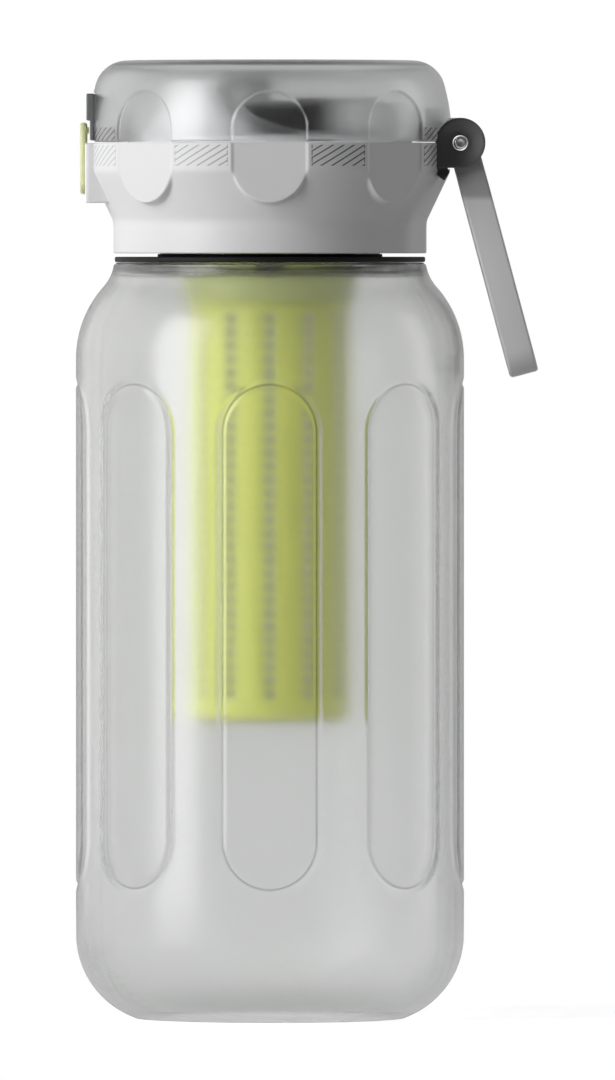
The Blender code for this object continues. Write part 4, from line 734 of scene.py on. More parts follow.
@dataclass
class BottleAssembly(Assembly):
    """The frosted bottle and the black ring on its shoulder, which also stands for shade under the cap."""

    radius: float = 45.0
    wall: float = 2.2
    base: float = 2.8
    corner: float = 20.7
    corner_center: float = 19.5
    corner_end: float = -70.2
    shoulder: float = 25.0
    hollow: float = 10.0
    ledge_radius: float = 36.1
    ledge: float = 175.3
    ledge_edge: float = 0.6
    neck_radius: float = 25.45
    neck_bore: float = 22.6
    neck_top: float = 200.4
    thread_start: float = 186.0
    thread_lead: float = 5.0
    thread_turns: float = 1.4
    thread_height: float = 1.3
    thread_half: float = 1.1
    thread_slope: float = 0.6
    panel: Stadium = PANEL
    groove_depth: float = 0.46
    groove_outer: float = 1.6
    groove_inner: float = 1.0
    spacing: Spacing = Spacing(45.0, 13.0, 52, 4)

    def build(self) -> None:
        """Build the bottle and its ring."""
        self.build_body()
        self.build_ring()

    def shoulder_arcs(self, inset: float, steps: int) -> Profile:
        """The shoulder from the ledge down to the straight wall."""
        hollow_r, hollow_z = self.ledge_radius + self.hollow, self.ledge + 1.0
        round_r = self.radius - self.shoulder
        rise = math.sqrt((self.shoulder + self.hollow) ** 2 - (hollow_r - round_r) ** 2)
        turn = math.degrees(math.atan2(rise, hollow_r - round_r))
        start = math.degrees(math.asin((1.0 + self.ledge_edge) / self.hollow))
        upper = arc((hollow_r, hollow_z), self.hollow + inset, 180 + start, 180 + turn, 8)
        lower = arc((round_r, hollow_z - rise), self.shoulder - inset, turn, 0, steps)
        return upper + lower[1:]

    def outside(self) -> Profile:
        """The outside from the neck's top down to the base's middle."""
        edge = self.ledge_edge
        neck = [(self.neck_radius - edge, self.neck_top), (self.neck_radius, self.neck_top - edge)]
        neck += [(self.neck_radius, z) for z in reversed(levels(184.0, 196.0, 0.49))]
        neck += [(self.neck_radius, self.ledge + 0.3), (self.neck_radius + 0.3, self.ledge)]
        ledge = [(self.ledge_radius - edge - 0.5, self.ledge), (self.ledge_radius - edge, self.ledge - 0.05)]
        shoulder = self.shoulder_arcs(0.0, 16)
        top, bottom = self.panel.top, self.panel.bottom
        upper = levels(top - 13.0, top + 2.5, 0.49)
        lower = levels(bottom - 2.5, bottom + 13.0, 0.5)
        middle = levels(lower[-1], upper[0], 14.0)[1:-1]
        heights = list(reversed(lower + middle + upper))
        wall = [(self.radius, z) for z in heights if z < shoulder[-1][1] - 0.2]
        corner = arc((self.radius - self.corner, self.corner_center), self.corner, 0, self.corner_end, 22)
        flat = [(corner[-1][0] - 0.8, 0.0), (corner[-1][0] - 3.0, 0.0), (12.0, 0.0), (0.0, 0.0)]
        return neck + ledge + shoulder + wall + corner[1:] + flat

    def inside(self) -> Profile:
        """The inside from the base's middle up to the neck's top."""
        inner = self.radius - self.wall
        stop = -math.degrees(math.asin((self.corner_center - self.base) / (self.corner - self.wall)))
        corner = arc((self.radius - self.corner, self.corner_center), self.corner - self.wall, stop, 0, 12)
        shoulder = [(r, z) for r, z in reversed(self.shoulder_arcs(self.wall, 10)) if z < self.ledge - 3.4]
        wall = [(inner, z) for z in levels(corner[-1][1], shoulder[0][1], 20.0)[1:-1]]
        top = [(shoulder[-1][0] - 1.2, self.ledge - 2.4), (self.neck_bore + 0.6, self.ledge - 2.4),
               (self.neck_bore, self.ledge - 1.8), (self.neck_bore, self.neck_top - self.ledge_edge),
               (self.neck_bore + self.ledge_edge, self.neck_top)]
        return [(0.0, self.base)] + corner + wall + shoulder + top

    def groove(self, turn: float, z: float) -> float:
        """How deep the groove round a panel is at a place on the wall."""
        across = sector_of(turn)[1] * self.radius
        outside = self.panel.distance(across, z)
        reach = self.groove_outer if outside > 0.0 else self.groove_inner
        return self.groove_depth * smooth(1.0 - abs(outside) / reach)

    def thread(self, turn: float, z: float) -> float:
        """How far the thread's ridge stands out of the neck."""
        out = 0.0
        for lap in range(3):
            angle = turn % (2 * math.pi) + 2 * math.pi * lap
            share = angle / (2 * math.pi * self.thread_turns)
            if share <= 1.0:
                ends = smooth(min(share, 1.0 - share) / 0.04)
                away = abs(z - self.thread_start - self.thread_lead * angle / (2 * math.pi))
                out = max(out, ends * self.thread_height * smooth((self.thread_half - away) / self.thread_slope))
        return out

    def mould(self, turn: float, radius: float, z: float) -> Point:
        """Press the panels' grooves and raise the thread."""
        turn = self.spacing.respace(turn)
        if radius > self.radius - 0.1:
            radius -= self.groove(turn, z)
        elif abs(radius - self.neck_radius) < 0.05 and z > self.ledge + 1.0:
            radius += self.thread(turn, z)
        return turn, radius, z

    def build_body(self) -> None:
        """The closed shell of the bottle."""
        body = Bench.turned("bottle_shell", self.inside() + self.outside(), self.spacing.columns, closed=False)
        Bench.move_points(body, self.mould)
        self.place(body, Body.BOTTLE, FROSTED, "bottle_body", angle=40.0)

    def build_ring(self) -> None:
        """The silicone ring, edges rounded, with a thin lip against the neck; its black is partly painted shade."""
        low, high = self.ledge + 0.06, self.ledge + 1.3
        inner, outer = self.neck_radius + 0.12, self.ledge_radius - 0.1
        lip, edge = inner + 0.5, 0.35
        profile = arc((outer - edge, high - edge), edge, 90, 0, 4) + arc((outer - edge, low + edge), edge, 0, -90, 4)
        # Painted shade: the lip is a dark sheet that darkens the neck in the shaded gap under the cap.
        profile += [(inner + 0.4, low), (inner, low + 0.4), (inner, high + 0.65), (lip, high + 0.65), (lip, high)]
        ring = Bench.turned("shoulder_seal_and_shade", profile, COLUMNS)
        self.place(ring, Body.RING, RING_BLACK_AND_SHADE, "shoulder_ring")


@dataclass
class HeadAssembly(Assembly):
    """What the cap and the lid share: the flats round them, the hinge and its pocket."""

    flat_plane: float = 40.6
    flats: Stadium = Stadium(8.63, 188.8, 214.8)
    spacing: Spacing = Spacing(41.8, 9.7, 72, 12)
    bare: tuple[int, int] = (0, FLAT_SECTORS // 2)
    pocket_x: float = 35.75
    pocket_half: float = 16.1

    def pressed(self, turn: float, radius: float, z: float, edge: float) -> Point:
        """A point brought to its flat's plane, in the flat's outline and over an edge's width."""
        local = sector_of(turn)[1]
        share = smooth(0.5 - self.flats.distance(self.flat_plane * math.tan(local), z) / edge)
        return turn, radius + (self.flat_plane / math.cos(local) - radius) * share, z


@dataclass
class CapAssembly(HeadAssembly):
    """The outer cap, its spout, the hinge bracket and the hinge pin."""

    band: float = 41.8
    skirt: float = 36.3
    skirt_bottom: float = 177.4
    skirt_top: float = 184.9
    band_bottom: float = 195.2
    top: float = 203.0
    wall: float = 2.2
    rim: float = 2.3
    flange_top: float = 202.3
    flange_hole: float = 29.75
    housing_face: float = 42.8
    housing_half: float = 9.3
    housing_bottom: float = 189.1
    housing_back: float = 36.8
    recess_back: float = 39.0
    seat_back: float = 37.6
    seat_radius: float = 2.25
    spout_x: float = -14.4
    spout_reach: float = 16.6
    spout_foot: float = 202.8
    flat_edge: float = 0.8

    def build(self) -> None:
        """Build the cap's pieces and give the CAD nodes that stay their finishes."""
        self.build_shell()
        self.build_spout()
        self.build_bracket()
        self.build_pin()
        for node, finish in (("cap_liner", LINER_GREY), ("neck_gasket", SILICONE), ("spout_gasket", SILICONE),
                             ("filter_gasket", SILICONE), ("lid_spring", SPRING), ("button_pin", STEEL),
                             ("button_spring", SPRING)):
            self.repaint(node, finish)

    def section(self) -> Profile:
        """The cap's section, clockwise from its rim."""
        edge = 0.4
        rim = arc((self.band - edge, self.top - edge), edge, 90, 0, 4)
        band = [(self.band, z) for z in reversed(levels(self.band_bottom + 1.9, rim[-1][1], 0.28))][1:]
        bend = [(self.band, self.band_bottom + 1.8), (self.band - 0.06, self.band_bottom + 1.2),
                (self.band - 0.25, self.band_bottom + 0.65), (self.band - 0.55, self.band_bottom),
                (self.band - 0.85, self.band_bottom - 0.6)]
        foot = (self.skirt + 0.7, self.skirt_top + 1.4)
        count = 34
        taper = [tuple(bend[-1][axis] + (foot[axis] - bend[-1][axis]) * step / count for axis in range(2))
                 for step in range(1, count + 1)]
        low = [(self.skirt + 0.38, self.skirt_top + 0.75), (self.skirt + 0.15, self.skirt_top + 0.1),
               (self.skirt + 0.03, self.skirt_top - 0.6), (self.skirt, self.skirt_top - 1.4)]
        lip = arc((self.skirt - edge, self.skirt_bottom + edge), edge, 0, -90, 4)
        slope = math.atan2(self.band - self.skirt, self.band_bottom - self.skirt_top)
        inner = [(self.skirt - self.wall, self.skirt_bottom), (self.skirt - self.wall, self.skirt_top),
                 (self.band - self.wall / math.cos(slope), self.band_bottom),
                 (self.band - self.wall, self.band_bottom + 1.8), (self.band - self.wall, self.flange_top - 2.0),
                 (self.flange_hole, self.flange_top - 2.0), (self.flange_hole, self.flange_top),
                 (self.band - self.rim, self.flange_top), (self.band - self.rim, self.top)]
        return rim + band + bend + taper + low + lip + inner

    def mould(self, turn: float, radius: float, z: float) -> Point:
        """Bring the flats and their raised feet to their plane."""
        turn = self.spacing.respace(turn)
        index = sector_of(turn)[0]
        inner = max(self.skirt - 0.1, self.outer_radius(z) - 1.2)
        if index in self.bare or radius < inner or z < self.flats.bottom - 1.5:
            return turn, radius, z
        return self.pressed(turn, radius, z, self.flat_edge)

    def outer_radius(self, z: float) -> float:
        """The cap's outer radius at a height, without its flats."""
        if z >= self.band_bottom:
            return self.band
        share = max(0.0, (z - self.skirt_top) / (self.band_bottom - self.skirt_top))
        return self.skirt + (self.band - self.skirt) * share

    def build_shell(self) -> None:
        """The outer cap with its flats, hinge pocket and button housing."""
        shell = Bench.turned("cap_cover", self.section(), self.spacing.columns)
        Bench.move_points(shell, self.mould)
        low = self.band_bottom - 0.8
        backing = Bench.box("cap_backing", (self.pocket_x - 2.1, -self.pocket_half - 2.2, low),
                            (self.band - 2.0, self.pocket_half + 2.2, self.flange_top - 0.2))
        slope = [(0.0, low - 1.0), (self.outer_radius(low) - 1.2, low - 1.0), (self.band - 0.9, self.band_bottom + 0.6),
                 (self.band - 0.9, self.top), (0.0, self.top)]
        Bench.combine(backing, Bench.turned("cap_bulk", slope, COLUMNS, closed=False), Operation.KEEP)
        Bench.combine(shell, backing, Operation.JOIN)
        pocket = Bench.box("cap_pocket", (self.pocket_x, -self.pocket_half, self.top - KNUCKLE - 0.3),
                           (self.band + 8.0, self.pocket_half, self.top + 3.0))
        Bench.combine(shell, pocket, Operation.CUT)
        Bench.combine(shell, self.housing(), Operation.JOIN)
        half = self.housing_half - 1.7
        recess = Bench.box("button_recess", (-self.housing_face - 3.0, -half, self.housing_bottom + 1.2),
                           (-self.recess_back, half, self.top + 3.0))
        Bench.combine(shell, recess, Operation.CUT)
        bore = Bench.rod("button_bore", (BUTTON_PIN_X, -self.housing_half + 0.3, BUTTON_PIN_Z),
                         (BUTTON_PIN_X, self.housing_half - 0.3, BUTTON_PIN_Z), BUTTON_PIN_HOLE)
        Bench.combine(shell, bore, Operation.CUT)
        seat = Bench.rod("spring_seat", (-self.seat_back, 0.0, BUTTON_SPRING_Z), (-40.5, 0.0, BUTTON_SPRING_Z),
                         self.seat_radius)
        Bench.combine(shell, seat, Operation.CUT)
        self.place(shell, Body.CAP, CAP_GREY, "cap_shell", angle=50.0)

    def housing(self) -> Solid:
        """The button's housing, its outer edges rounded."""
        back, step = -self.housing_back, -(self.band - self.rim + 0.1)
        outline = [(-self.housing_face, self.housing_bottom), (back, self.housing_bottom),
                   (back, self.flange_top - 0.1), (step, self.flange_top - 0.1), (step, self.top - 0.1),
                   (-self.housing_face, self.top - 0.1)]
        slab = Bench.slab("button_house", [(x, -self.housing_half, z) for x, z in outline],
                          (0.0, 2 * self.housing_half, 0.0))
        Bench.round_edges(slab, 0.35, 3, 60.0)
        return slab

    def build_spout(self) -> None:
        """The drinking spout on its wide foot."""
        base, height, lip = 204.9, 10.7, 5.9
        bore, spigot = 4.5, 5.8
        shares = ((0.0, 0.93), (0.0, 0.85), (0.004, 0.78), (0.02, 0.68), (0.05, 0.61), (0.1, 0.53), (0.16, 0.455),
                  (0.24, 0.38), (0.33, 0.305), (0.43, 0.237), (0.53, 0.177), (0.64, 0.128), (0.77, 0.088), (0.9, 0.066),
                  (1.0, 0.058))
        flank = [(lip + out * self.spout_reach, base + up * height) for out, up in shares]
        top = base + height
        rim = arc((lip - 0.7, top - 0.7), 0.7, 110, 0, 6)
        profile = rim + flank + [(flank[-1][0], base), (spigot + 2.2, base), (spigot + 2.2, base + 1.3),
                                 (spigot, base + 1.3), (spigot, self.spout_foot), (bore, self.spout_foot),
                                 (bore, top - 0.5)]
        spout = Bench.turned("spout_nozzle", profile, 128)
        spout.location = metres((self.spout_x, 0.0, 0.0))
        Bench.settle(spout)
        trim = Bench.rod("spout_trim", (0.0, 0.0, 199.0), (0.0, 0.0, 220.0), 32.3, COLUMNS)
        Bench.combine(spout, trim, Operation.KEEP)
        self.place(spout, Body.CAP, SPOUT_GREY, "spout")

    def build_bracket(self) -> None:
        """The hinge bracket: a plate in the cap's pocket and two dished ears with their feet."""
        inner, outer = 13.4, 15.8
        x, z = HINGE_X, self.top
        back = self.pocket_x + 0.3
        low = z - KNUCKLE + 0.1
        bracket = Bench.box("hinge_holder", (back, -outer + 0.1, low), (back + 2.0, outer - 0.1, z - 0.4))
        circle = arc((0.0, 0.0), KNUCKLE, 180, -90, 60)
        rear = back + 0.1 - x
        ear = circle + [(rear, -KNUCKLE), (rear, -0.3), (-KNUCKLE, -0.3)]
        foot = [(-6.3, -4.8), (-6.3, -6.8), (-3.8, -8.8), (-2.5, -6.8), (-2.95, -6.1), (-2.95, -4.8)]
        for side in (-1, 1):
            face = side * outer
            plate = Bench.slab("ear", [(x + a, face, z + b) for a, b in ear], (0.0, side * (inner - outer), 0.0))
            lug = Bench.slab("ear_foot", [(x + a, face - side * 0.05, z + b) for a, b in foot],
                             (0.0, side * (inner - outer + 0.1), 0.0))
            Bench.combine(plate, lug, Operation.JOIN)
            Bench.combine(plate, self.dish(side, outer), Operation.CUT)
            Bench.combine(bracket, plate, Operation.JOIN)
        keep_off = Bench.turned("holder_keep_off", self.keep_off(), COLUMNS, closed=False)
        Bench.combine(bracket, keep_off, Operation.CUT)
        Bench.round_edges(bracket, 0.16, 2, 40.0)
        hole = Bench.rod("holder_hole", (x, -20.0, z), (x, 20.0, z), HINGE_HOLE)
        Bench.combine(bracket, hole, Operation.CUT)
        self.place(bracket, Body.CAP, BRACKET_GREY, "hinge_bracket")

    def keep_off(self) -> Profile:
        """The cap's outside below the pocket, grown by its clearance."""
        gap = 0.3
        return [(0.0, 196.5), (self.band - 1.0, 196.5), (self.band + gap, 196.5), (self.band - 0.5 + gap, 195.0),
                (self.skirt + 0.4 + gap, 185.8), (self.skirt + gap, 184.0), (0.0, 184.0)]

    def dish(self, side: int, outer: float) -> Solid:
        """The shallow dish in an ear's outer face."""
        rim = KNUCKLE - 0.55
        profile = [(0.0, 1.0), (rim + 0.6, 1.0), (rim, 0.0), (rim - 0.35, -0.16), (rim - 1.2, -0.42), (3.1, -0.75),
                   (2.6, -0.88), (2.2, -0.9), (0.0, -0.9)]
        dish = Bench.turned("ear_dish", profile, 96, closed=False)
        dish.rotation_euler.x = -side * math.pi / 2
        dish.location = metres((HINGE_X, side * outer, self.top))
        Bench.settle(dish)
        return dish

    def build_pin(self) -> None:
        """The steel pin, its ends turned to a rounded nose with a small centre dimple."""
        half, radius, nose = 15.5, 1.5, 0.45
        end = [(0.0, half - 0.12), (0.55, half - 0.1), (0.75, half)]
        end += arc((radius - nose, half - nose), nose, 90, 0, 6)
        profile = end + [(r, -z) for r, z in reversed(end)]
        pin = Bench.turned("hinge_axle", profile, 64, closed=False)
        pin.rotation_euler.x = math.pi / 2
        pin.location = metres((HINGE_X, 0.0, self.top))
        Bench.settle(pin)
        self.place(pin, Body.CAP, STEEL, "hinge_pin")


@dataclass
class LidAssembly(HeadAssembly):
    """The smoke lid, its dark insert, its plug and its latch tab."""

    radius: float = 42.0
    wall: float = 2.2
    corner: float = 7.5
    corner_turn: float = 14.0
    flat_edge: float = 0.6
    top_radius: float = 33.2
    rim: float = 203.3
    top: float = 222.1
    knuckle_half: float = 10.6
    spring_half: float = 4.2

    def build(self) -> None:
        """Build the lid's pieces."""
        self.build_shell()
        self.build_insert()
        self.build_tab()
        self.repaint("seal_plug", SILICONE)

    def side(self, z: float) -> float:
        """The lid's outer radius at a height below its corner, a smooth curve through its stations."""
        end = self.corner_end
        stations = ((self.rim, self.radius, 0.0), (208.75, self.radius - 0.104, -0.076),
                    (212.1, self.radius - 0.546, -0.18), (end[1], end[0], -math.tan(math.radians(self.corner_turn))))
        for (low, first, lean), (high, last, after) in zip(stations, stations[1:]):
            if z <= high or high == end[1]:
                span = high - low
                t = min(1.0, max(0.0, (z - low) / span))
                return ((2 * t**3 - 3 * t**2 + 1) * first + (t**3 - 2 * t**2 + t) * span * lean
                        + (3 * t**2 - 2 * t**3) * last + (t**3 - t**2) * span * after)
        return self.radius

    @property
    def corner_end(self) -> Span:
        """Where the corner's arc meets the side."""
        turn = math.radians(self.corner_turn)
        return (self.top_radius + self.corner * math.cos(turn), self.top - self.corner + self.corner * math.sin(turn))

    def outside(self) -> Profile:
        """The outside from the middle of the top down to the rim."""
        crown = [(0.0, self.top), (12.0, self.top), (24.0, self.top), (30.0, self.top)]
        corner = arc((self.top_radius, self.top - self.corner), self.corner, 90, self.corner_turn, 18)
        heights = reversed(levels(self.rim + 0.45, corner[-1][1] - 0.35, 0.28))
        edge = arc((self.radius - 0.4, self.rim + 0.4), 0.4, 0, -90, 4)
        return crown + corner + [(self.side(z), z) for z in heights] + edge

    def inside(self) -> Profile:
        """The inside from the rim up to the middle of the ceiling."""
        corner = arc((self.top_radius, self.top - self.corner), self.corner - self.wall, self.corner_turn, 90, 10)
        side = [(self.side(z) - self.wall, z) for z in levels(self.rim, corner[0][1] - 0.5, 2.5)]
        return side + corner + [(20.0, self.top - self.wall), (0.0, self.top - self.wall)]

    def mould(self, turn: float, radius: float, z: float) -> Point:
        """Press the flats into the lid's side."""
        turn = self.spacing.respace(turn)
        index, local = sector_of(turn)
        if index in self.bare or radius < self.flat_plane / math.cos(local) or z > self.flats.top + 1.0:
            return turn, radius, z
        return self.pressed(turn, radius, z, self.flat_edge)

    def build_shell(self) -> None:
        """The lid's shell with its flats, knuckles and the seat for the latch tab."""
        shell = Bench.turned("lid_cover", self.outside() + self.inside(), self.spacing.columns, closed=False)
        Bench.move_points(shell, self.mould)
        envelope = Bench.turned("lid_bulk", self.outside() + [(0.0, self.rim)], COLUMNS, closed=False)
        backing = Bench.box("lid_backing", (self.pocket_x - 1.0, -self.pocket_half - 2.2, self.rim + 0.2),
                            (self.radius + 3.0, self.pocket_half + 2.2, HINGE_Z + 7.75))
        Bench.combine(backing, envelope, Operation.KEEP)
        Bench.combine(shell, backing, Operation.JOIN)
        root = self.pocket_x + 1.5 - HINGE_X
        outline = arc((0.0, 0.0), KNUCKLE, 90, -180, 48)
        outline += [(-KNUCKLE, 0.4), (root, 0.4), (root, KNUCKLE)]
        knuckle = Bench.slab("lid_knuckle", [(HINGE_X + x, -self.knuckle_half, HINGE_Z + z) for x, z in outline],
                             (0.0, 2 * self.knuckle_half, 0.0))
        Bench.combine(shell, knuckle, Operation.JOIN)
        relief, side = KNUCKLE + 0.3, self.knuckle_half + 0.1
        for low, high, radius in ((-self.pocket_half, -side, relief), (side, self.pocket_half, relief),
                                  (-self.spring_half, self.spring_half, relief), (-20.0, 20.0, HINGE_HOLE)):
            cutter = Bench.rod("lid_relief", (HINGE_X, low, HINGE_Z), (HINGE_X, high, HINGE_Z), radius)
            Bench.combine(shell, cutter, Operation.CUT)
        seat = Bench.box("tab_seat", (-60.0, -12.0, 198.0), (-self.flat_plane, 12.0, 214.7))
        Bench.combine(shell, seat, Operation.CUT)
        self.place(shell, Body.LID, SMOKE, "lid_shell", angle=32.0)

    def build_insert(self) -> None:
        """The dark insert: the CAD solid's own shape with softened edges."""
        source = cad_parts["lid_insert"]
        Bench.clear()
        insert = source.copy()
        insert.data = source.data.copy()
        insert.name = "insert_plate"
        insert.parent = None
        for key in list(insert.keys()):
            del insert[key]
        bpy.context.scene.collection.objects.link(insert)
        Bench.pick(insert)
        bpy.ops.object.mode_set(mode="EDIT")
        bpy.ops.mesh.select_all(action="SELECT")
        bpy.ops.mesh.remove_doubles(threshold=0.002 * MM)
        bpy.ops.object.mode_set(mode="OBJECT")
        Bench.round_edges(insert, 0.3, 2, 40.0)
        self.place(insert, Body.LID, INSERT_DARK, "lid_insert")

    def build_tab(self) -> None:
        """The latch tab with its step and the slot for the button's nose."""
        inner = self.flat_plane + 0.05
        face = self.flat_plane + 1.9
        outline = [(-inner, 203.6), (-face + 0.8, 203.6), (-face + 0.8, 208.2), (-face, 208.2), (-face, 214.4),
                   (-inner, 214.4)]
        tab = Bench.slab("latch_plate", [(x, -10.0, z) for x, z in outline], (0.0, 20.0, 0.0))
        Bench.round_edges(tab, 0.28, 3, 40.0)
        slot = Bench.box("latch_slot", (-face - 1.0, -5.2, 204.9), (-face + 1.2, 5.2, 206.9))
        Bench.combine(tab, slot, Operation.CUT)
        self.place(tab, Body.LID, TAB_GREY, "latch_tab")


@dataclass
class HandleAssembly(Assembly):
    """The carry loop."""

    hang: float = 15.0
    width: float = 6.6
    strap: float = 3.4
    length: float = 55.6
    half: float = 16.8
    offset: float = 0.5
    corner: float = 6.0

    def build(self) -> None:
        """The loop as one strap with two eyes, its edges rounded."""
        inner, outer = 10.9, 13.1
        narrow, end = self.half - self.strap, -self.length
        outside = [(outer, 0.0), (outer, -6.0), (outer + 0.35, -7.2), (self.half - 0.4, -11.0), (self.half, -12.4)]
        outside += arc((self.half - self.corner, end + self.corner), self.corner, 0, -90, 16)
        inside = arc((self.half - self.corner, end + self.corner), self.corner - self.strap, -90, 0, 12)
        inside += [(narrow, -12.9), (narrow - 0.4, -11.6), (inner + 0.35, -8.2), (inner, -7.0), (inner, 0.0)]
        outline = outside + [(-x, z) for x, z in reversed(outside)] + [(-x, z) for x, z in reversed(inside)] + inside
        low = self.offset - self.width / 2
        loop = Bench.slab("carry_loop", [(low, y, z) for y, z in outline], (self.width, 0.0, 0.0))
        Bench.round_edges(loop, 0.6, 4, 50.0)
        for side in (-1, 1):
            eye = Bench.rod("loop_eye", (0.0, side * inner, 0.0), (0.0, side * outer, 0.0), KNUCKLE, 96)
            Bench.round_edges(eye, 0.3, 2, 50.0)
            Bench.combine(loop, eye, Operation.JOIN)
        Bench.combine(loop, Bench.rod("loop_hole", (0.0, -20.0, 0.0), (0.0, 20.0, 0.0), HINGE_HOLE), Operation.CUT)
        loop.rotation_euler.y = -math.radians(self.hang)
        loop.location = metres((HINGE_X, 0.0, HINGE_Z))
        Bench.settle(loop)
        self.place(loop, Body.HANDLE, HANDLE_GREY, "carry_handle")


@dataclass
class ButtonAssembly(Assembly):
    """The rocker button."""

    half: float = 7.3
    face: float = 44.0
    thickness: float = 1.6
    bottom: float = 191.1
    top: float = 207.7
    corner: float = 3.2

    def build(self) -> None:
        """The button's plate, lugs and nose."""
        outline: Profile = []
        for across, up, start in ((1, 1, 0), (-1, 1, 90), (-1, -1, 180), (1, -1, 270)):
            middle = self.top if up > 0 else self.bottom
            outline += arc((across * (self.half - self.corner), middle - up * self.corner), self.corner, start,
                           start + 90, 14)
        plate = Bench.slab("rocker_cap", [(-self.face, y, z) for y, z in outline], (self.thickness, 0.0, 0.0))
        Bench.round_edges(plate, 0.6, 4, 50.0)
        back = -(self.face - self.thickness)
        root = back - 0.4 - BUTTON_PIN_X
        lug = [(root, 2.5)] + arc((0.0, 0.0), 1.7, 90, -90, 20) + [(root, -2.5)]
        for side in (-1, 1):
            place = side * 6.0
            outline = [(BUTTON_PIN_X + x, place, BUTTON_PIN_Z + z) for x, z in lug]
            Bench.combine(plate, Bench.slab("rocker_lug", outline, (0.0, -side * 1.6, 0.0)), Operation.JOIN)
        nose = Bench.box("rocker_nose", (back - 0.4, -4.6, 205.2), (back + 0.4, 4.6, 206.6))
        Bench.combine(plate, nose, Operation.JOIN)
        hole = Bench.rod("rocker_hole", (BUTTON_PIN_X, -9.0, BUTTON_PIN_Z), (BUTTON_PIN_X, 9.0, BUTTON_PIN_Z),
                         BUTTON_PIN_HOLE)
        Bench.combine(plate, hole, Operation.CUT)
        seat = Bench.rod("rocker_seat", (back + 0.4, 0.0, BUTTON_SPRING_Z), (back - 0.75, 0.0, BUTTON_SPRING_Z), 2.5)
        Bench.combine(plate, seat, Operation.CUT)
        self.place(plate, Body.ROCKER, LIME_BUTTON, "button")


@dataclass
class FilterAssembly(Assembly):
    """The filter: its collar and its perforated tube."""

    collar_radius: float = 20.0
    collar_top: float = 198.6
    collar_bottom: float = 166.6
    radius: float = 18.5
    wall: float = 1.4
    bottom: float = 68.7
    columns: int = 12
    pitch: float = 3.1
    rows: int = 29
    hole_width: float = 2.7
    hole_height: float = 2.1
    lug_height: float = 192.0
    lug_reach: float = 0.9

    def build(self) -> None:
        """Build the collar and the tube."""
        self.build_collar()
        self.build_tube()

    def build_collar(self) -> None:
        """The collar with its windows and bayonet lugs."""
        inner, socket = self.collar_radius - 2.8, self.radius + 0.3
        top, low, edge = self.collar_top, self.collar_bottom, 0.4
        outer = arc((self.collar_radius - edge, top - edge), edge, 90, 0, 4)
        outer += arc((self.collar_radius - edge, low + edge), edge, 0, -90, 4)
        profile = [(inner, top)] + outer + [(socket, low), (socket, low + 4.4), (inner, low + 4.4)]
        collar = Bench.turned("filter_crown", profile, 96)
        for index in range(3):
            turn = math.radians(60.0 * index + 30.0)
            window = Bench.box("collar_window", (-30.0, -3.0, low + 5.8), (30.0, 3.0, low + 9.8))
            Bench.round_edges(window, 0.9, 3, 40.0)
            window.rotation_euler.z = turn
            Bench.settle(window)
            Bench.combine(collar, window, Operation.CUT)
        reach = self.collar_radius + self.lug_reach
        lug = Bench.rod("collar_lugs", (-reach, 0.0, self.lug_height), (reach, 0.0, self.lug_height), 1.1, 32)
        core = Bench.rod("collar_core", (0.0, 0.0, 188.0), (0.0, 0.0, 196.0), self.collar_radius - 1.0)
        Bench.combine(lug, core, Operation.CUT)
        Bench.combine(collar, lug, Operation.JOIN)
        self.place(collar, Body.FILTER, LIME_FILTER, "filter_collar")

    def build_tube(self) -> None:
        """The tube: a rolled sheet with rounded holes, given its wall."""
        corner = arc((self.radius - 2.4, self.bottom + 2.4), 2.4, -90, 0, 6)
        start = self.bottom + 5.3
        margin = (self.pitch - self.hole_height) / 2
        heights: list[float] = []
        for row in range(self.rows):
            low = start + row * self.pitch
            heights += [low, low + margin, low + margin + self.hole_height]
        heights.append(start + self.rows * self.pitch)
        top = self.collar_bottom + 4.1
        profile = [(0.0, self.bottom)] + corner + [(self.radius, z) for z in heights] + [(self.radius, top)]
        tube = Bench.turned("filter_sleeve", profile, 4 * self.columns, closed=False)
        half = self.hole_width / self.radius / 2
        cell, quarter = 2 * math.pi / self.columns, 0.25

        def respace(turn: float, radius: float, z: float) -> Point:
            """Set two columns of points at the sides of each row of holes."""
            index = math.floor(turn / cell + 0.5)
            local = (turn - index * cell) / cell
            if abs(local) <= quarter + 0.0001:
                return index * cell + local * (half / quarter), radius, z
            past = (abs(local) - quarter) / quarter
            return index * cell + math.copysign(half + past * (cell / 2 - half), local), radius, z

        Bench.move_points(tube, respace)
        Bench.pick(tube)
        bpy.ops.object.mode_set(mode="EDIT")
        mesh = bmesh.from_edit_mesh(tube.data)
        for face in mesh.faces:
            middle = face.calc_center_median()
            turn = math.atan2(middle.y, middle.x)
            local = abs(turn - round(turn / cell) * cell)
            up = middle.z / MM - start
            row = up % self.pitch
            inside = 0.0 < up < self.rows * self.pitch
            face.select = inside and local < half and margin < row < margin + self.hole_height
        bmesh.update_edit_mesh(tube.data)
        bpy.ops.mesh.delete(type="FACE")
        bpy.ops.object.mode_set(mode="OBJECT")
        wall = tube.modifiers.new("Wall", "SOLIDIFY")
        wall.thickness = self.wall * MM
        wall.offset = -1.0
        Bench.apply(tube, wall)
        rounding = tube.modifiers.new("Rounding", "SUBSURF")
        rounding.levels = 1
        rounding.render_levels = 1
        Bench.apply(tube, rounding)
        self.place(tube, Body.TUBE, LIME_SLEEVE, "filter_tube", angle=50.0)


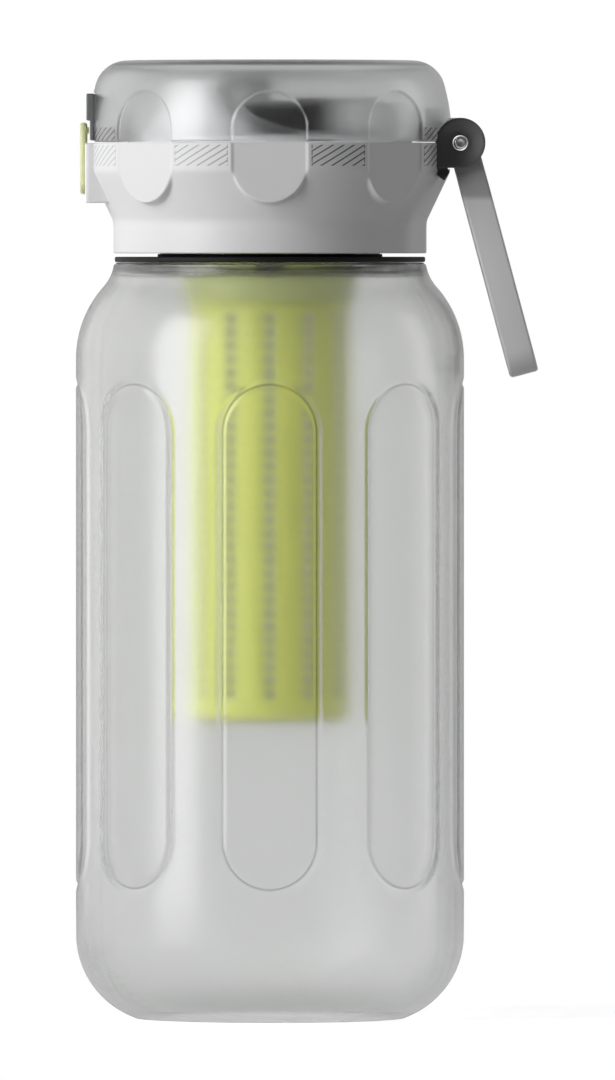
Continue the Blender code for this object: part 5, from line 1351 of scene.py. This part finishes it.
@dataclass
class Studio:
    """The floor, the light and the camera."""

    pixels: tuple[int, int] = (615, 1080)
    scale: float = 0.232
    axis_pixel: float = 270.0
    floor_pixel: float = 1018.0
    elevation: float = 0.8
    lens: float = 480.0
    sensor: float = 24.0
    ambient: float = 0.17
    behind: float = 0.66
    beside: float = 0.48
    inner_left: float = 1.5
    inner_right: float = 0.45
    inner_above: float = 3.8
    glossy: float = 0.50
    glossy_front: float = 0.06
    glossy_left: float = 0.35
    behind_span: Span = (0.15, 0.95)
    inner_span: Span = (-0.9, 0.5)
    above_span: Span = (0.1, 0.8)
    glossy_span: Span = (-0.7, 0.5)
    left_span: Span = (-0.3, -0.95)
    floor_glow: float = 0.80
    painted_shadow_glow: float = 0.15
    contact: Span = (28.5, 32.5)
    fade: Span = (70.0, 300.0)
    below: float = 0.72
    aim_height: float = 120.0
    lamp_distance: float = 1200.0

    def build(self) -> None:
        """Set the whole studio."""
        self.build_camera()
        self.build_world()
        self.build_floor()
        self.build_lamps()
        bpy.context.scene.view_settings.view_transform = "Standard"

    def build_camera(self) -> None:
        """The camera, a little above level and far away."""
        data = bpy.data.cameras.new("studio_camera")
        data.lens = self.lens
        data.sensor_fit = "VERTICAL"
        data.sensor_height = self.sensor
        data.clip_end = 50.0
        pixel = self.scale * MM
        distance = self.pixels[1] * pixel * self.lens / self.sensor
        aim = Vector(((self.pixels[0] / 2 - self.axis_pixel) * pixel, 0.0,
                      (self.floor_pixel - self.pixels[1] / 2) * pixel))
        tilt = math.radians(self.elevation)
        camera = bpy.data.objects.new("studio_camera", data)
        camera.location = aim + distance * Vector((0.0, -math.cos(tilt), math.sin(tilt)))
        camera.rotation_euler = (math.pi / 2 - tilt, 0.0, 0.0)
        bpy.context.scene.collection.objects.link(camera)
        bpy.context.scene.camera = camera

    def build_world(self) -> None:
        """A soft surround: white to the camera, dimmer through the walls towards the sides, faint in reflections."""
        world = bpy.data.worlds.new("studio_world")
        bpy.context.scene.world = world
        world.use_nodes = True
        nodes = Nodes(world.node_tree, clear=True)
        value = nodes.math
        rays = nodes.add("ShaderNodeLightPath").outputs
        axes = nodes.add("ShaderNodeSeparateXYZ", Vector=nodes.add("ShaderNodeTexCoord").outputs["Generated"]).outputs
        away = nodes.ramp(axes["Y"], *self.behind_span, self.beside, self.behind)
        front = nodes.ramp(axes["Y"], *self.glossy_span, self.glossy_front, self.glossy)
        left = nodes.ramp(axes["X"], *self.left_span, 0.0, self.glossy_left)
        across = nodes.ramp(axes["X"], *self.inner_span, self.inner_left, self.inner_right)
        above = nodes.ramp(axes["Z"], *self.above_span, 1.0, self.inner_above)
        inner = value("GREATER_THAN", rays["Diffuse Depth"], 0.5)
        dimmed = value("ADD", value("SUBTRACT", 1.0, inner), value("MULTIPLY", inner, value("MULTIPLY", across, above)))
        result = nodes.fed("ShaderNodeBackground", WHITE, self.ambient)
        for ray, strength in (("Is Glossy Ray", value("ADD", front, left)),
                              ("Is Transmission Ray", value("MULTIPLY", away, dimmed)), ("Is Camera Ray", 1.0)):
            shown = nodes.fed("ShaderNodeBackground", WHITE, strength)
            result = nodes.fed("ShaderNodeMixShader", rays[ray], result, shown)
        nodes.add("ShaderNodeOutputWorld", Surface=result)

    def build_floor(self) -> None:
        """A pale floor that keeps the bottle's shadow, adds a painted shadow under its base and turns white further
        out.
        """
        Bench.clear()
        bpy.ops.mesh.primitive_circle_add(vertices=96, radius=0.6, fill_type="NGON", location=(0.0, 0.0, -0.1 * MM))
        floor = Bench.named("studio_floor")
        Bench.settle(floor)
        paint = bpy.data.materials.new("studio_floor")
        paint.use_nodes = True
        nodes = Nodes(paint.node_tree, clear=True)
        rays = nodes.add("ShaderNodeLightPath").outputs
        away = nodes.add("ShaderNodeVectorMath", operation="LENGTH",
                         Vector=nodes.add("ShaderNodeTexCoord").outputs["Object"]).outputs["Value"]
        out, contact = ([edge * MM for edge in span] for span in (self.fade, self.contact))
        # Painted shadow: the floor's glow drops under the bottle's base.
        glow = nodes.fed("ShaderNodeEmission", WHITE, nodes.ramp(away, *contact, self.painted_shadow_glow, self.floor_glow))
        lit = nodes.fed("ShaderNodeAddShader", nodes.fed("ShaderNodeBsdfDiffuse", (0.6, 0.6, 0.6, 1.0)), glow)
        near = nodes.fed("ShaderNodeMixShader", nodes.ramp(away, *out), lit,
                         nodes.fed("ShaderNodeEmission", WHITE, 1.0))
        seen = nodes.math("MAXIMUM", rays["Is Glossy Ray"], rays["Is Transmission Ray"])
        pale = nodes.fed("ShaderNodeMixShader", seen, nodes.fed("ShaderNodeBsdfDiffuse", (0.5, 0.5, 0.5, 1.0)),
                         nodes.fed("ShaderNodeEmission", WHITE, self.below))
        shown = nodes.fed("ShaderNodeMixShader", rays["Is Camera Ray"], pale, near)
        nodes.add("ShaderNodeOutputMaterial", Surface=shown)
        floor.data.materials.append(paint)

    def lamp(self, name: str, azimuth: float, elevation: float, size: Span, power: float) -> None:
        """A soft rectangular lamp that faces the bottle's middle.

        Args:
            name: The lamp's name.
            azimuth: Degrees round from the front (-Y) towards +X.
            elevation: Degrees above the horizon.
            size: Its width and height, in metres.
            power: Its power in watts.
        """
        turn, rise = math.radians(azimuth), math.radians(elevation)
        away = Vector((math.sin(turn) * math.cos(rise), -math.cos(turn) * math.cos(rise), math.sin(rise)))
        data = bpy.data.lights.new(name, "AREA")
        data.shape = "RECTANGLE"
        data.size, data.size_y = size
        data.energy = power
        lamp = bpy.data.objects.new(name, data)
        lamp.location = Vector((0.0, 0.0, self.aim_height * MM)) + self.lamp_distance * MM * away
        lamp.rotation_euler = away.to_track_quat("Z", "Y").to_euler()
        bpy.context.scene.collection.objects.link(lamp)

    def build_lamps(self) -> None:
        """The key from the front left, a wide dim panel at the left and an edge lamp at the right."""
        self.lamp("key_lamp", -57.0, 10.0, (0.62, 1.4), 14.5)
        self.lamp("side_panel", -118.0, 8.0, (1.3, 1.5), 3.5)
        self.lamp("right_edge_lamp", 105.0, 5.0, (0.4, 1.2), 2.0)


def main() -> None:
    """Build every assembly in order, set the studio and note the sizes."""
    logging.basicConfig(level=logging.INFO, format="%(message)s")
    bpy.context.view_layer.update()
    for assembly in (BottleAssembly(), CapAssembly(), LidAssembly(), HandleAssembly(), ButtonAssembly(),
                     FilterAssembly()):
        assembly.build()
        LOG.info("%s: %d pieces", type(assembly).__name__, len(assembly.pieces))
    Studio().build()
    Bench.clear()
    bpy.context.view_layer.update()


if __name__ == "__main__":
    main()
